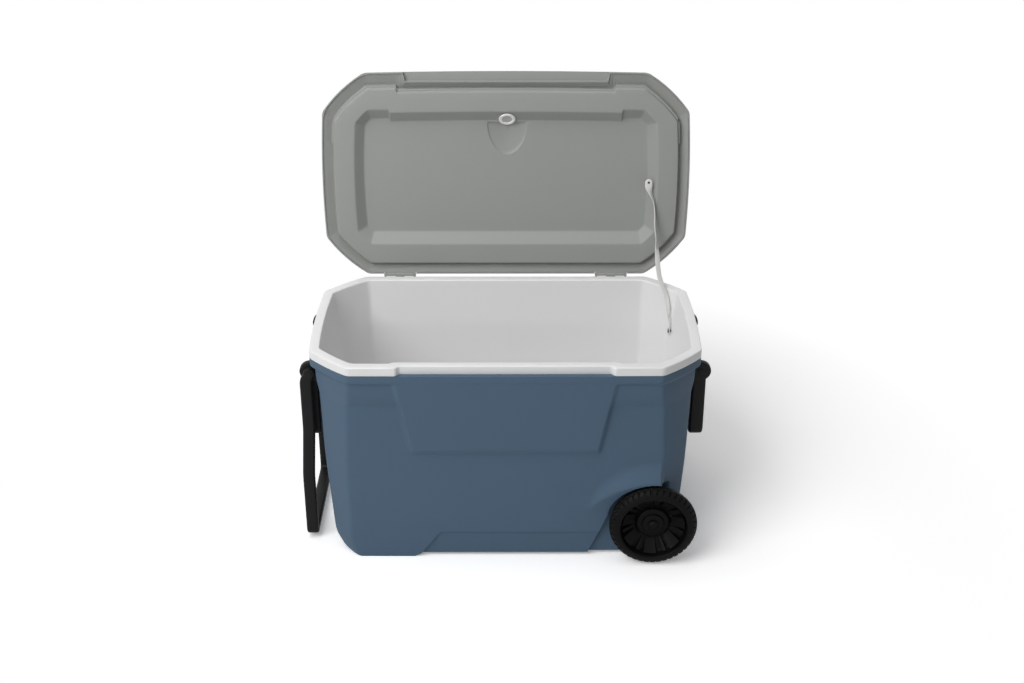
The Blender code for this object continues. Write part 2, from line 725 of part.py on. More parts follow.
def build_liner():
    """The white basin with its rim, which is a channel turned down over the shell's lip."""
    under = FLANGE_TOP + GAP
    rings = [ring(s) for s in liner_sections(LINER_WALL)[:3]]
    rings.append(ring(at_height(inset(RIM, RIM_FACE - LINER_WALL), under)))
    for by, z in ((0.0, under), (0.0, RIM_HEIGHT - BAND_ROUND), (BAND_ROUND, RIM_HEIGHT)):
        rings.append(ring(at_height(inset(RIM, by), z), NOTCH_DEPTH))
    liner = loft("liner", rings, WHITE)
    foot = box("hump_under", (HUMP_X + LINER_WALL, -RIM.y, 0), (RIM.x, RIM.y, HUMP_HEIGHT - LINER_WALL))

    inside = liner_sections()
    inside[-1] = at_height(inside[-1], RIM_HEIGHT - BAND_ROUND)
    inside.append(at_height(inset(RIM, RIM_FACE - BAND_ROUND), RIM_HEIGHT))
    inside.append(at_height(inset(RIM, RIM_FACE - BAND_ROUND), RIM_HEIGHT + OVERRUN))
    basin = loft("basin", [ring(s) for s in inside])
    cut(basin, box("hump", (HUMP_X, -RIM.y, 0), (RIM.x, RIM.y, HUMP_HEIGHT)))

    groove = loft("rim_channel", [ring(at_height(inset(RIM, BAND_WALL), z), NOTCH_DEPTH)
                                  for z in (FLANGE_TOP - OVERRUN, RIM_HEIGHT - BAND_WALL)])
    core = inset(RIM, LIP_WIDTH - BAND_WALL)
    cut(groove, loft("rim_core", [ring(at_height(core, z)) for z in (0, RIM_HEIGHT + OVERRUN)]))
    cut(liner, foot, basin, groove)
    seat = nut_boss("drain_nut_boss")
    pad = rod("strap_boss_tub", STRAP_BOSS_RADIUS, (STRAP_TUB_X, STRAP_TUB_Y, RIM_HEIGHT - STRAP_TUB_DEPTH),
              (STRAP_TUB_X + STRAP_PIN_LENGTH, STRAP_TUB_Y, RIM_HEIGHT - STRAP_TUB_DEPTH))
    join(liner, seat, pad)
    pin = rod("strap_hole_tub", STRAP_PIN_RADIUS + GAP,
              (STRAP_TUB_X - STRAP_PIN_LENGTH, STRAP_TUB_Y, RIM_HEIGHT - STRAP_TUB_DEPTH),
              (STRAP_TUB_X + STRAP_PIN_LENGTH - GAP, STRAP_TUB_Y, RIM_HEIGHT - STRAP_TUB_DEPTH))
    cut(liner, drain_hole("drain_hole_liner"), pin)
    smooth(liner)


def finger_cutter(name, grow=0.0):
    """The place under the lid's front edge where it is gripped."""
    inner, outer = -RIM.y + FINGER_REACH + grow, -RIM.y - OVERRUN
    half = FINGER_HALF + grow
    rings = []
    for z in (LID_BASE - OVERRUN, LID_BASE + FINGER_HEIGHT + grow):
        rings.append([(-half - NOTCH_SLANT, -RIM.y, z), (-half, inner, z), (half, inner, z),
                      (half + NOTCH_SLANT, -RIM.y, z), (half + NOTCH_SLANT, outer, z),
                      (-half - NOTCH_SLANT, outer, z)])
    return loft(name, rings)


def lid_sections():
    """The outside of the shut lid, from its edge up to the sunk panel."""
    steps = [(LID_EDGE_INSET, 0), (LID_EDGE_INSET + LID_SHOULDER_INSET, LID_SHOULDER),
             (LID_BREAK_INSET, LID_BREAK),
             (LID_TOP_INSET, LID_HEIGHT), (LID_PANEL_INSET, LID_HEIGHT),
             (LID_PANEL_INSET + LID_PANEL_DEPTH, LID_HEIGHT - LID_PANEL_DEPTH)]
    return [at_height(inset(RIM, by), LID_BASE + up) for by, up in steps]


def lid_hollow(wall, start):
    """The inside of the cap, from a height above the rim up to under the sunk panel."""
    drop = wall + LID_PANEL_DEPTH
    share = start / (LID_SHOULDER - drop)
    steps = [(LID_EDGE_INSET + LID_SHOULDER_INSET * share, start),
             (LID_EDGE_INSET + LID_SHOULDER_INSET, LID_SHOULDER - drop),
             (LID_BREAK_INSET, LID_BREAK - drop),
             (LID_TOP_INSET, LID_HEIGHT - drop)]
    return [at_height(inset(RIM, by + wall), LID_BASE + up) for by, up in steps]


def dish(by, z):
    """A ring of the lid's recess, which sits a little nearer the hinge."""
    return [p + Vector((0, DISH_SHIFT, 0)) for p in ring(at_height(inset(RIM, by), z))]


def plug_frame():
    """Where the fill plug sits on the front slope of the recess, and the way it faces."""
    slope = DISH_RISE / SLOPE_WIDTH
    facing = Vector((0, slope, -1)).normalized()
    y = -RIM.y + SLOPE_INSET + SLOPE_WIDTH / 2 + DISH_SHIFT
    return Vector((PLUG_X, y, LID_BASE - FACE_DROP + DISH_RISE / 2)), facing


def build_lid(lid_bores):
    """The lid as it lies when shut: cap, inner tray, foam and fill plug."""
    cap = loft("lid_cap", [ring(s) for s in lid_sections()], GREY)
    for side, end in ((-1, "left"), (1, "right")):
        middle = side * HINGE_X
        join(cap, box(f"hinge_pad_{end}", (middle - HINGE_HALF, RIM.y - LID_BREAK_INSET, LID_BASE + PAD_RISE),
                      (middle + HINGE_HALF, RIM.y, LID_BASE + LID_SHOULDER)))
    hollow = lid_hollow(LID_WALL, 0.0)
    space = loft("lid_space", [ring(at_height(hollow[0], LID_BASE - OVERRUN))] + [ring(s) for s in hollow])
    cut(space, finger_cutter("finger_wall", LID_WALL))
    cut(cap, finger_cutter("finger_recess"), space, lid_bores)
    smooth(cap)

    edge = LID_EDGE_INSET + LID_SHOULDER_INSET + LID_WALL + GAP
    reach = FINGER_REACH + LID_WALL + GAP + SIDE_BOW - edge
    half = FINGER_HALF + LID_WALL + GAP

    def border(by, z, setback=0.0):
        return ring(at_height(inset(RIM, by), LID_BASE + z), setback, half)

    ridge_out, ridge_in = RIDGE_INSET, RIDGE_INSET + RIDGE_WIDTH
    rings = [dish(SLOPE_INSET + SLOPE_WIDTH - TRAY_WALL, LID_BASE + DISH_RISE - FACE_DROP + TRAY_WALL),
             dish(SLOPE_INSET - TRAY_WALL, LID_BASE + TRAY_WALL),
             border(edge, TRAY_WALL, reach), border(edge, 0.0, reach),
             border(ridge_out, 0.0), border(ridge_out, -RIDGE_DROP), border(ridge_in, -RIDGE_DROP),
             border(ridge_in, -FACE_DROP), dish(SLOPE_INSET, LID_BASE - FACE_DROP),
             dish(SLOPE_INSET + SLOPE_WIDTH, LID_BASE + DISH_RISE - FACE_DROP)]
    tray = loft("lid_tray", rings, GREY)
    seat, facing = plug_frame()
    boss = rod("plug_boss", FILL_PLUG_RADIUS + PLUG_MARGIN, seat - facing * PLUG_BOSS_DEPTH, seat)
    strap_seat = Vector((STRAP_LID_X, RIM.y - STRAP_LID_REACH, LID_BASE - FACE_DROP))
    up = Vector((0, 0, 1))
    pad = rod("strap_boss_lid", STRAP_BOSS_RADIUS, strap_seat, strap_seat + up * STRAP_BOSS_DEPTH)
    join(tray, boss, pad)
    sink = rod("plug_seat", FILL_PLUG_RADIUS + GAP, seat, seat + facing * OVERRUN, ROUND)
    hole = rod("plug_hole", FILL_PLUG_STEM + GAP, seat - facing * OVERRUN, seat + facing * OVERRUN)
    pin = rod("strap_hole_lid", STRAP_PIN_RADIUS + GAP, strap_seat - up * STRAP_PIN_LENGTH,
              strap_seat + up * STRAP_PIN_LENGTH)
    cut(tray, scoop_cutter(), sink, hole, pin)
    smooth(tray)

    base = LID_BASE + TRAY_WALL + GAP
    foam = loft("lid_foam", [ring(s) for s in lid_hollow(LID_WALL + GAP, TRAY_WALL + GAP)], FOAM)
    bump = loft("dish_space", [dish(SLOPE_INSET - TRAY_WALL - 2 * GAP, base - GAP),
                               dish(SLOPE_INSET + SLOPE_WIDTH - TRAY_WALL - 2 * GAP,
                                    LID_BASE + DISH_RISE - FACE_DROP + TRAY_WALL + GAP)])
    boss_space = rod("plug_boss_space", FILL_PLUG_RADIUS + PLUG_MARGIN + GAP,
                     seat - facing * (PLUG_BOSS_DEPTH + GAP), seat + facing * OVERRUN)
    deep = FILL_PLUG_STEM_LENGTH + PLUG_MARGIN
    well = rod("plug_well", FILL_PLUG_STEM + PLUG_MARGIN, seat - facing * deep, seat)
    cut(foam, finger_cutter("finger_space", LID_WALL + GAP), bump, boss_space, well, lid_bores)

    rim, stem = FILL_PLUG_RADIUS, FILL_PLUG_STEM
    thick = FILL_PLUG_THICKNESS
    profile = [(0, thick * DOME_SHARE), (rim * DOME_SHARE, thick * DOME_SHARE),
               (rim * PLUG_RING_SHARE, thick),
               (rim - thick / 2, thick), (rim, thick / 2), (rim, 0), (stem, 0),
               (stem, -FILL_PLUG_STEM_LENGTH), (0, -FILL_PLUG_STEM_LENGTH)]
    smooth(turned("fill_plug", profile, seat + facing * GAP, facing, ROUND, WHITE))
    head = strap_seat - up * (STRAP_THICKNESS + 2 * GAP)
    strap_pin("strap_pin_lid", head, -up)


def scoop_cutter():
    """A shallow half-round thumb recess in the floor of the lid's recess."""
    z = LID_BASE - FACE_DROP + DISH_RISE
    start = -RIM.y + SLOPE_INSET + SLOPE_WIDTH + DISH_SHIFT + SCOOP_SET
    bm = bmesh.new()
    arc = [math.pi * i / SMALL_ROUND for i in range(SMALL_ROUND + 1)]
    points = [(SCOOP_HALF * math.cos(a), start + SCOOP_LENGTH * math.sin(a)) for a in arc]
    loops = [[bm.verts.new((x, y, h)) for x, y in points] for h in (z - OVERRUN, z + SCOOP_DEPTH)]
    count = len(points)
    for i in range(count):
        j = (i + 1) % count
        bm.faces.new((loops[0][i], loops[0][j], loops[1][j], loops[1][i]))
    bm.faces.new(list(reversed(loops[0])))
    bm.faces.new(loops[1])
    return finish("scoop", bm)


def strap_pin(name, head, way):
    """A headed stud that holds one end of the strap. way points out of the wall."""
    height, shank = STRAP_PIN_HEAD_HEIGHT, STRAP_THICKNESS + GAP + STRAP_PIN_LENGTH
    profile = [(0, height), (STRAP_PIN_HEAD * DOME_SHARE, height), (STRAP_PIN_HEAD, height / 2),
               (STRAP_PIN_HEAD, 0), (STRAP_PIN_RADIUS, 0), (STRAP_PIN_RADIUS, -shank), (0, -shank)]
    smooth(turned(name, profile, head, way, SMALL_ROUND, BLACK))


def leaf(name, side, low, high, knuckles, holes):
    """One leaf of a hinge: a plate with knuckles round the axis."""
    face = RIM.y + GAP
    centre = side * HINGE_X
    piece = box(name, (centre - HINGE_HALF, face, low),
                (centre + HINGE_HALF, face + LEAF_THICKNESS, high), STEEL)
    for number, (start, end) in enumerate(knuckles):
        a, b = (centre + start, HINGE_Y, HINGE_Z), (centre + end, HINGE_Y, HINGE_Z)
        join(piece, rod(f"{name}_knuckle_{number}", KNUCKLE_RADIUS, a, b))
        join(piece, box(f"{name}_web_{number}", (a[0], face, min(HINGE_Z, (low + high) / 2)),
                        (b[0], face + LEAF_THICKNESS, max(HINGE_Z, (low + high) / 2))))
    reach = HINGE_HALF + OVERRUN
    bore = rod(f"{name}_bore", HINGE_PIN_RADIUS + PIVOT_CLEARANCE, (centre - reach, HINGE_Y, HINGE_Z),
               (centre + reach, HINGE_Y, HINGE_Z))
    cut(piece, bore, holes)
    smooth(piece)


def build_tub_leaves(tub_bores):
    outer, middle = (KNUCKLE_OUTER_START, HINGE_HALF), (-KNUCKLE_MIDDLE_HALF, KNUCKLE_MIDDLE_HALF)
    for side, end in ((-1, "left"), (1, "right")):
        leaf(f"hinge_leaf_tub_{end}", side, RIM_HEIGHT - LEAF_DROP, HINGE_Z - KNUCKLE_RADIUS - SIDE_PLAY,
             [(-outer[1], -outer[0]), middle, outer], tub_bores)
        reach = HINGE_HALF + SIDE_PLAY
        pin = rod(f"hinge_pin_{end}", HINGE_PIN_RADIUS, (side * HINGE_X - reach, HINGE_Y, HINGE_Z),
                  (side * HINGE_X + reach, HINGE_Y, HINGE_Z), SMALL_ROUND, STEEL)
        smooth(pin)


def build_lid_leaves(lid_bores):
    start, end_at = KNUCKLE_MIDDLE_HALF + SIDE_PLAY, KNUCKLE_OUTER_START - SIDE_PLAY
    for side, end in ((-1, "left"), (1, "right")):
        leaf(f"hinge_leaf_lid_{end}", side, HINGE_Z + KNUCKLE_RADIUS + SIDE_PLAY, RIM_HEIGHT + LEAF_RISE,
             [(-end_at, -start), (start, end_at)], lid_bores)


def build_ears(ear_bores):
    """Four ears screwed to the ends, with the pins the handles turn on."""
    recesses = []
    for seat, way in ear_screws().values():
        recesses.append((seat, seat - way * EAR_RADIUS * 2))
    counterbores = rods("ear_counterbores", SCREW_HEAD_RADIUS + GAP, recesses)
    face = outer_solid("ear_face", GAP)
    for side, end in ((-1, "left"), (1, "right")):
        for way, where in ((-1, "front"), (1, "rear")):
            low, high = way * EAR_Y - EAR_THICKNESS / 2, way * EAR_Y + EAR_THICKNESS / 2
            x = side * PIVOT_X
            ear = rod(f"ear_{end}_{where}", EAR_RADIUS, (x, low, PIVOT_Z), (x, high, PIVOT_Z), EAR_SIDES,
                      BLACK)
            inner = side * (RIM.x - CREASE_INSET_X - SHELL_WALL)
            join(ear, box(f"ear_root_{end}_{where}", (min(x, inner), low, PIVOT_Z - EAR_RADIUS),
                          (max(x, inner), high, PIVOT_Z + EAR_RADIUS)))
            bore = rod(f"ear_bore_{end}_{where}", PIVOT_PIN_RADIUS + PIVOT_CLEARANCE,
                       (x, low - OVERRUN, PIVOT_Z), (x, high + OVERRUN, PIVOT_Z))
            cut(ear, face, bore, ear_bores, counterbores)
            smooth(ear)
            carry = EAR_Y - EAR_THICKNESS / 2 - CARRY_BAR - 2 * SIDE_PLAY
            outer = EAR_Y + EAR_THICKNESS / 2 + SIDE_PLAY
            if side < 0:
                outer += TOW_BAR + SIDE_PLAY
            head, tall = PIN_HEAD_RADIUS, PIN_HEAD_HEIGHT
            profile = [(0, tall), (head * DOME_SHARE, tall), (head, tall / 2), (head, 0),
                       (PIVOT_PIN_RADIUS, 0), (PIVOT_PIN_RADIUS, carry - outer), (head, carry - outer),
                       (head, carry - outer - tall / 2),
                       (head * DOME_SHARE, carry - outer - tall), (0, carry - outer - tall)]
            smooth(turned(f"pivot_pin_{end}_{where}", profile, (x, way * outer, PIVOT_Z), (0, way, 0),
                          SMALL_ROUND, STEEL))


def pivot_bore(name, side, half):
    return rod(name, PIVOT_PIN_RADIUS + PIVOT_CLEARANCE, (side * PIVOT_X, -half - OVERRUN, PIVOT_Z),
               (side * PIVOT_X, half + OVERRUN, PIVOT_Z))


def bail(name, stations, edge, spec):
    """A handle bent to a U. A station is its middle in X, half its width, and its inner and outer (y, z)."""
    half = []
    for x, wide, inner, outer in stations:
        trim = min(edge, wide * EYE_TRIM_SHARE)
        inner, outer = Vector(inner), Vector(outer)
        across = (outer - inner).normalized() * trim
        points = []
        for u, w in ((-wide, inner + across), (-wide, outer - across), (-wide + trim, outer),
                     (wide - trim, outer),
                     (wide, outer - across), (wide, inner + across), (wide - trim, inner), (-wide + trim, inner)):
            points.append((x + u, w.x, w.y))
        half.append(points)
    other = [[(x, -y, z) for x, y, z in ring] for ring in reversed(half)]
    return loft(name, half + other, spec)


def arm_stations(side, radius, inner, outer, bends):
    """The rounded eye at the top of one arm, then the arm down through its bends."""
    stations = []
    for degrees in EYE_ANGLES:
        up, wide = radius * math.sin(math.radians(degrees)), radius * math.cos(math.radians(degrees))
        stations.append((side * PIVOT_X, wide, (inner, PIVOT_Z + up), (outer, PIVOT_Z + up)))
    for drop, out in bends:
        stations.append((side * (PIVOT_X + out), radius, (inner, PIVOT_Z - drop), (outer, PIVOT_Z - drop)))
    return stations


def grip_stations(x, radius, inner, outer, low, grip):
    """Round the cut corner at the foot of an arm and to the start of the grip."""
    corner, turn = grip / 2, grip / 4
    return [(x, radius, (inner, low + grip + turn), (outer, low + corner)),
            (x, radius, (inner - turn, low + grip), (outer - corner, low))]


def build_carry(side, end):
    """A short carry handle: two arms and a grip, hanging."""
    outer, inner = CARRY_HALF, CARRY_HALF - CARRY_BAR
    radius, low = CARRY_WIDTH / 2, PIVOT_Z - CARRY_DROP
    stations = arm_stations(side, radius, inner, outer, [])
    stations += grip_stations(side * PIVOT_X, radius, inner, outer, low, CARRY_GRIP)
    handle = bail(f"carry_handle_{end}", stations, HANDLE_EDGE, BLACK)
    cut(handle, pivot_bore(f"carry_bore_{end}", side, outer))
    smooth(handle)


def build_tow():
    """The long tow handle at the end away from the wheels, hanging down outside the carry handle."""
    outer, inner = TOW_HALF, TOW_HALF - TOW_BAR
    radius, low = TOW_WIDTH / 2, PIVOT_Z - TOW_DROP
    bends = [(TOW_SHIFT_END, TOW_SHIFT), (TOW_KINK_START, TOW_SHIFT), (TOW_KINK_END, TOW_SHIFT + TOW_KINK)]
    stations = arm_stations(-1, radius, inner, outer, bends)
    stations += grip_stations(-PIVOT_X - TOW_SHIFT - TOW_KINK, radius, inner, outer, low, TOW_GRIP)
    handle = bail("tow_handle", stations, HANDLE_EDGE, BLACK)
    cut(handle, pivot_bore("tow_bore", -1, outer))
    smooth(handle)


def wheel_profile():
    """Radius and height of the wheel's section, heights outwards from its middle."""
    half, bore = WHEEL_WIDTH / 2, AXLE_RADIUS + AXLE_CLEARANCE
    shoulder = half - SHOULDER_DEPTH
    web = HUB_FACE - WEB_DROP
    inner_end = WELL_BACK_Y + WASHER_THICKNESS + 2 * SIDE_PLAY - WHEEL_Y
    return [(bore, HUB_FACE), (HUB_STEP_RADIUS, HUB_FACE), (HUB_RADIUS, HUB_FACE - DISH_STEP),
            (HUB_RADIUS + DISH_STEP, web), (DISH_RADIUS - DISH_SLANT, web), (DISH_RADIUS, half - DISH_STEP),
            (DISH_RADIUS + DISH_STEP, half), (SIDEWALL_RADIUS, half),
            (WHEEL_RADIUS - TREAD_CROWN, shoulder),
            (WHEEL_RADIUS, SHOULDER_DEPTH), (WHEEL_RADIUS, -SHOULDER_DEPTH),
            (WHEEL_RADIUS - TREAD_CROWN, -shoulder),
            (SIDEWALL_RADIUS, -half), (DISH_RADIUS, -half), (DISH_RADIUS - DISH_SLANT, web - WEB_THICKNESS),
            (HUB_STEP_RADIUS, web - WEB_THICKNESS), (HUB_STEP_RADIUS - DISH_STEP, inner_end), (bore, inner_end)]


def tread_grooves(name):
    """Slanted cuts across the tread, cut from a wheel that lies on its side at the origin."""
    bm = bmesh.new()
    reach = WHEEL_RADIUS - TREAD_GROOVE_DEPTH
    size = Matrix.Diagonal((TREAD_GROOVE_DEPTH * 4, TREAD_GROOVE_WIDTH, WHEEL_WIDTH / 2, 1))
    for i in range(TREAD_GROOVES):
        for row, up in enumerate((-1, 1)):
            turn = Matrix.Rotation(math.tau * (i + row / 2) / TREAD_GROOVES, 4, "Z")
            out = Matrix.Translation((reach + TREAD_GROOVE_DEPTH * 2, 0, up * WHEEL_WIDTH * GROOVE_SHARE))
            bmesh.ops.create_cube(bm, size=1, matrix=turn @ out @ size)
    return finish(name, bm)


def pockets(name, depth):
    """Wedge-shaped pockets in the dish, opening outwards."""
    bm = bmesh.new()
    low, high = HUB_RADIUS + DISH_STEP + POCKET_MARGIN, DISH_RADIUS - DISH_SLANT - POCKET_MARGIN
    for i in range(WHEEL_POCKETS):
        middle = math.tau * i / WHEEL_POCKETS
        spread = math.tau / WHEEL_POCKETS * POCKET_SHARE
        corners = [(low, -1), (high, -1), (high, 1), (low, 1)]
        plan = [(r * math.cos(middle + s * spread), r * math.sin(middle + s * spread)) for r, s in corners]
        loops = [[bm.verts.new((x, y, z)) for x, y in plan] for z in (depth, WHEEL_WIDTH)]
        for a in range(4):
            b = (a + 1) % 4
            bm.faces.new((loops[0][a], loops[0][b], loops[1][b], loops[1][a]))
        bm.faces.new(list(reversed(loops[0])))
        bm.faces.new(loops[1])
    return finish(name, bm)


def build_wheels():
    axle_end = WHEEL_Y + HUB_FACE + AXLE_STUB
    smooth(rod("axle", AXLE_RADIUS, (WHEEL_X, -axle_end, WHEEL_RADIUS), (WHEEL_X, axle_end, WHEEL_RADIUS),
               ROUND, STEEL))
    for way, where in ((-1, "front"), (1, "rear")):
        centre = (WHEEL_X, way * WHEEL_Y, WHEEL_RADIUS)
        wheel = turned(f"wheel_{where}", wheel_profile(), centre, (0, way, 0), WHEEL_SIDES, BLACK)
        web_pockets = pockets(f"pockets_{where}", HUB_FACE - WEB_DROP - POCKET_DEPTH)
        for tool in (tread_grooves(f"grooves_{where}"), web_pockets):
            tool.matrix_world = wheel.matrix_world
            cut(wheel, tool)
        smooth(wheel)
        seat = (WHEEL_X, way * (WHEEL_Y + HUB_FACE + SIDE_PLAY), WHEEL_RADIUS)
        hole = AXLE_RADIUS + GAP
        deep = AXLE_STUB - SIDE_PLAY + GAP
        profile = [(0, CAP_DEPTH), (CAP_RADIUS * DOME_SHARE, CAP_DEPTH), (CAP_RADIUS, CAP_DEPTH / 2),
                   (CAP_RADIUS, 0), (hole, 0), (hole, deep), (0, deep)]
        smooth(turned(f"axle_cap_{where}", profile, seat, (0, way, 0), SMALL_ROUND, BLACK))
        start = way * (WELL_BACK_Y + SIDE_PLAY)
        washer = rod(f"washer_{where}", WASHER_RADIUS, (WHEEL_X, start, WHEEL_RADIUS),
                     (WHEEL_X, start + way * WASHER_THICKNESS, WHEEL_RADIUS), SMALL_ROUND, STEEL)
        cut(washer, rod(f"washer_hole_{where}", AXLE_RADIUS + GAP,
                        (WHEEL_X, start - way * SIDE_PLAY, WHEEL_RADIUS),
                        (WHEEL_X, start + way * (WASHER_THICKNESS + SIDE_PLAY), WHEEL_RADIUS)))
        smooth(washer)


def build_drain():
    """A flanged tube through the wall, held by a nut inside and shut by a push-in plug."""
    base = DRAIN_X - DRAIN_GASKET - GAP
    out = (-1, 0, 0)
    inner = DRAIN_INNER_X + DRAIN_NUT_THICKNESS + 2 * GAP + DRAIN_FLANGE_THICKNESS / 2
    length = inner - base
    top = DRAIN_FLANGE_THICKNESS
    profile = [(DRAIN_BORE, top), (DRAIN_FLANGE - top / 2, top), (DRAIN_FLANGE, top / 2), (DRAIN_FLANGE, 0),
               (DRAIN_TUBE, 0), (DRAIN_TUBE, -length), (DRAIN_BORE, -length)]
    smooth(turned("drain_fitting", profile, (base - GAP, 0, DRAIN_HEIGHT), out, SMALL_ROUND, BLACK))
    gasket = [(DRAIN_TUBE + GAP, DRAIN_GASKET), (DRAIN_FLANGE - DRAIN_GASKET, DRAIN_GASKET),
              (DRAIN_FLANGE - DRAIN_GASKET, 0), (DRAIN_TUBE + GAP, 0)]
    smooth(turned("drain_gasket", gasket, (DRAIN_X - GAP, 0, DRAIN_HEIGHT), out, SMALL_ROUND, RUBBER))
    start = DRAIN_INNER_X + GAP
    nut = rod("drain_nut", DRAIN_NUT, (start, 0, DRAIN_HEIGHT),
              (start + DRAIN_NUT_THICKNESS, 0, DRAIN_HEIGHT), 6, BLACK)
    cut(nut, rod("drain_nut_bore", DRAIN_TUBE + GAP, (start - OVERRUN, 0, DRAIN_HEIGHT),
                 (start + OVERRUN, 0, DRAIN_HEIGHT), ROUND))
    stem = DRAIN_BORE - PIVOT_CLEARANCE
    head = DRAIN_PLUG_HEAD_THICKNESS
    face = base - GAP - DRAIN_FLANGE_THICKNESS - GAP
    plug = [(0, head), (DRAIN_PLUG_HEAD - head / 2, head), (DRAIN_PLUG_HEAD, head / 2), (DRAIN_PLUG_HEAD, 0),
            (stem, 0), (stem, -DRAIN_PLUG_STEM), (0, -DRAIN_PLUG_STEM)]
    piece = turned("drain_plug", plug, (face, 0, DRAIN_HEIGHT), out, SMALL_ROUND, BLACK)
    half = DRAIN_TAB_THICKNESS / 2
    tab = box("drain_tab", (face - head - DRAIN_TAB_LENGTH, -DRAIN_TAB_LENGTH, DRAIN_HEIGHT - half),
              (face - head / 2, DRAIN_TAB_LENGTH, DRAIN_HEIGHT + half))
    join(piece, tab)
    smooth(piece)


def build_strap():
    """The white strap from the lid to the tub's wall. It turns a quarter as it falls."""
    lid_end = open_lid() @ Vector((STRAP_LID_X, RIM.y - STRAP_LID_REACH,
                                   LID_BASE - FACE_DROP - GAP - STRAP_THICKNESS / 2))
    tub_end = Vector((STRAP_TUB_X - GAP - STRAP_THICKNESS / 2, STRAP_TUB_Y, RIM_HEIGHT - STRAP_TUB_DEPTH))
    lid_out = open_lid().to_3x3() @ Vector((0, 0, -1))
    along = open_lid().to_3x3() @ Vector((0, 1, 0))
    start, end = lid_end + along * STRAP_EYE_RADIUS, tub_end + Vector((0, 0, STRAP_EYE_RADIUS))
    reach = (start - end).length / 3
    handles = [start, start + along * reach + Vector((STRAP_LEAN, 0, 0)),
               end + Vector((-STRAP_LEAN / 3, STRAP_SAG, reach)), end]
    down, half = Vector((0, 0, -1)), STRAP_WIDTH / 2
    eye = [(STRAP_EYE_RADIUS * math.sin(math.radians(a)), STRAP_EYE_RADIUS * math.cos(math.radians(a)))
           for a in STRAP_EYE_ANGLES]
    stations = [(lid_end + along * back, along, 0.0, wide) for back, wide in eye]
    for i in range(STRAP_STEPS + 1):
        t = i / STRAP_STEPS
        shares = ((1 - t) ** 3, 3 * t * (1 - t) ** 2, 3 * t * t * (1 - t), t ** 3)
        rates = (-3 * (1 - t) ** 2, 3 * (1 - t) * (1 - 3 * t), 3 * t * (2 - 3 * t), 3 * t * t)
        place = sum((h * s for h, s in zip(handles, shares)), Vector())
        ahead = sum((h * s for h, s in zip(handles, rates)), Vector()).normalized()
        if i == 0:
            ahead = along
        if i == STRAP_STEPS:
            ahead = down
        stations.append((place, ahead, t * t * (3 - 2 * t), half))
    stations += [(tub_end - down * back, down, 1.0, wide) for back, wide in reversed(eye)]
    rings = []
    for place, ahead, turn, wide in stations:
        across = Vector((1, 0, 0)).lerp(Vector((0, 1, 0)), turn)
        across = (across - ahead * across.dot(ahead)).normalized() * wide
        thick = ahead.cross(across).normalized() * STRAP_THICKNESS / 2
        rings.append([place + across + thick, place - across + thick, place - across - thick,
                      place + across - thick])
    strap = loft("lid_strap", rings, STRAP)
    for tag, middle, way in (("lid", lid_end, lid_out), ("tub", tub_end, Vector((-1, 0, 0)))):
        cut(strap, rod(f"strap_eye_{tag}", STRAP_PIN_RADIUS + GAP, middle - way * STRAP_THICKNESS,
                       middle + way * STRAP_THICKNESS))
    smooth(strap)
    head = tub_end - Vector((STRAP_THICKNESS / 2 + GAP, 0, 0))
    strap_pin("strap_pin_tub", head, (-1, 0, 0))


def empty(name, place, parent=None):
    made = bpy.data.objects.new(name, None)
    model.objects.link(made)
    made.location = place
    if parent:
        made.parent = parent
    return made


def hang(pieces, pivot):
    """Parent pieces, and the cutters that go with them, where they stand."""
    for piece in pieces:
        piece.parent = pivot
        piece.matrix_parent_inverse = Matrix.Translation(pivot.location).inverted()


def centre_on_floor(root):
    """Move everything so the origin is under the middle of the box round it, on the floor."""
    bpy.context.view_layer.update()
    graph = bpy.context.evaluated_depsgraph_get()
    points = []
    for piece in model.objects:
        if piece.type == "MESH":
            shown = piece.evaluated_get(graph)
            points += [shown.matrix_world @ v.co for v in shown.data.vertices]
    low = Vector([min(p[i] for p in points) for i in range(3)])
    high = Vector([max(p[i] for p in points) for i in range(3)])
    root.location = (-(low.x + high.x) / 2, -(low.y + high.y) / 2, -low.z)
    bpy.context.view_layer.update()


def main():
    global model, cutters
    clear_scene()
    model = collection("wheeled_cooler")
    cutters = collection("cutters")
    tub_places = hinge_screws("tub", RIM_HEIGHT - LEAF_DROP * LEAF_SCREW_SHARE)
    lid_places = hinge_screws("lid", RIM_HEIGHT + LEAF_RISE * LEAF_SCREW_SHARE)

    lid_bores = bores("lid_bores", lid_places, SCREW_LENGTH)
    build_lid(lid_bores)
    build_lid_leaves(lid_bores)
    screws(lid_places, SCREW_LENGTH)
    lid_pieces = list(bpy.data.objects)

    tub_bores = bores("tub_bores", tub_places, SCREW_LENGTH)
    ear_bores = bores("ear_bores", ear_screws(), EAR_SCREW_LENGTH)
    build_tub(tub_bores, ear_bores)
    build_liner()
    build_tub_leaves(tub_bores)
    screws(tub_places, SCREW_LENGTH)
    screws(ear_screws(), EAR_SCREW_LENGTH)
    build_ears(ear_bores)
    build_strap()
    build_wheels()
    build_carry(-1, "left")
    build_carry(1, "right")
    build_tow()
    build_drain()
    tub_pieces = [o for o in bpy.data.objects if o not in lid_pieces]

    root = empty("cooler", (0, 0, 0))
    lid_pivot = empty("lid_pivot", (0, HINGE_Y, HINGE_Z), root)
    lid_pivot.rotation_euler = (-LID_OPEN, 0, 0)
    hang(tub_pieces, root)
    hang(lid_pieces, lid_pivot)
    centre_on_floor(root)


main()
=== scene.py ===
# Wheeled cooler with its lid open: the smooth mouldings, finishes, light and camera.
import math

import bpy
import numpy as np
from mathutils import Matrix


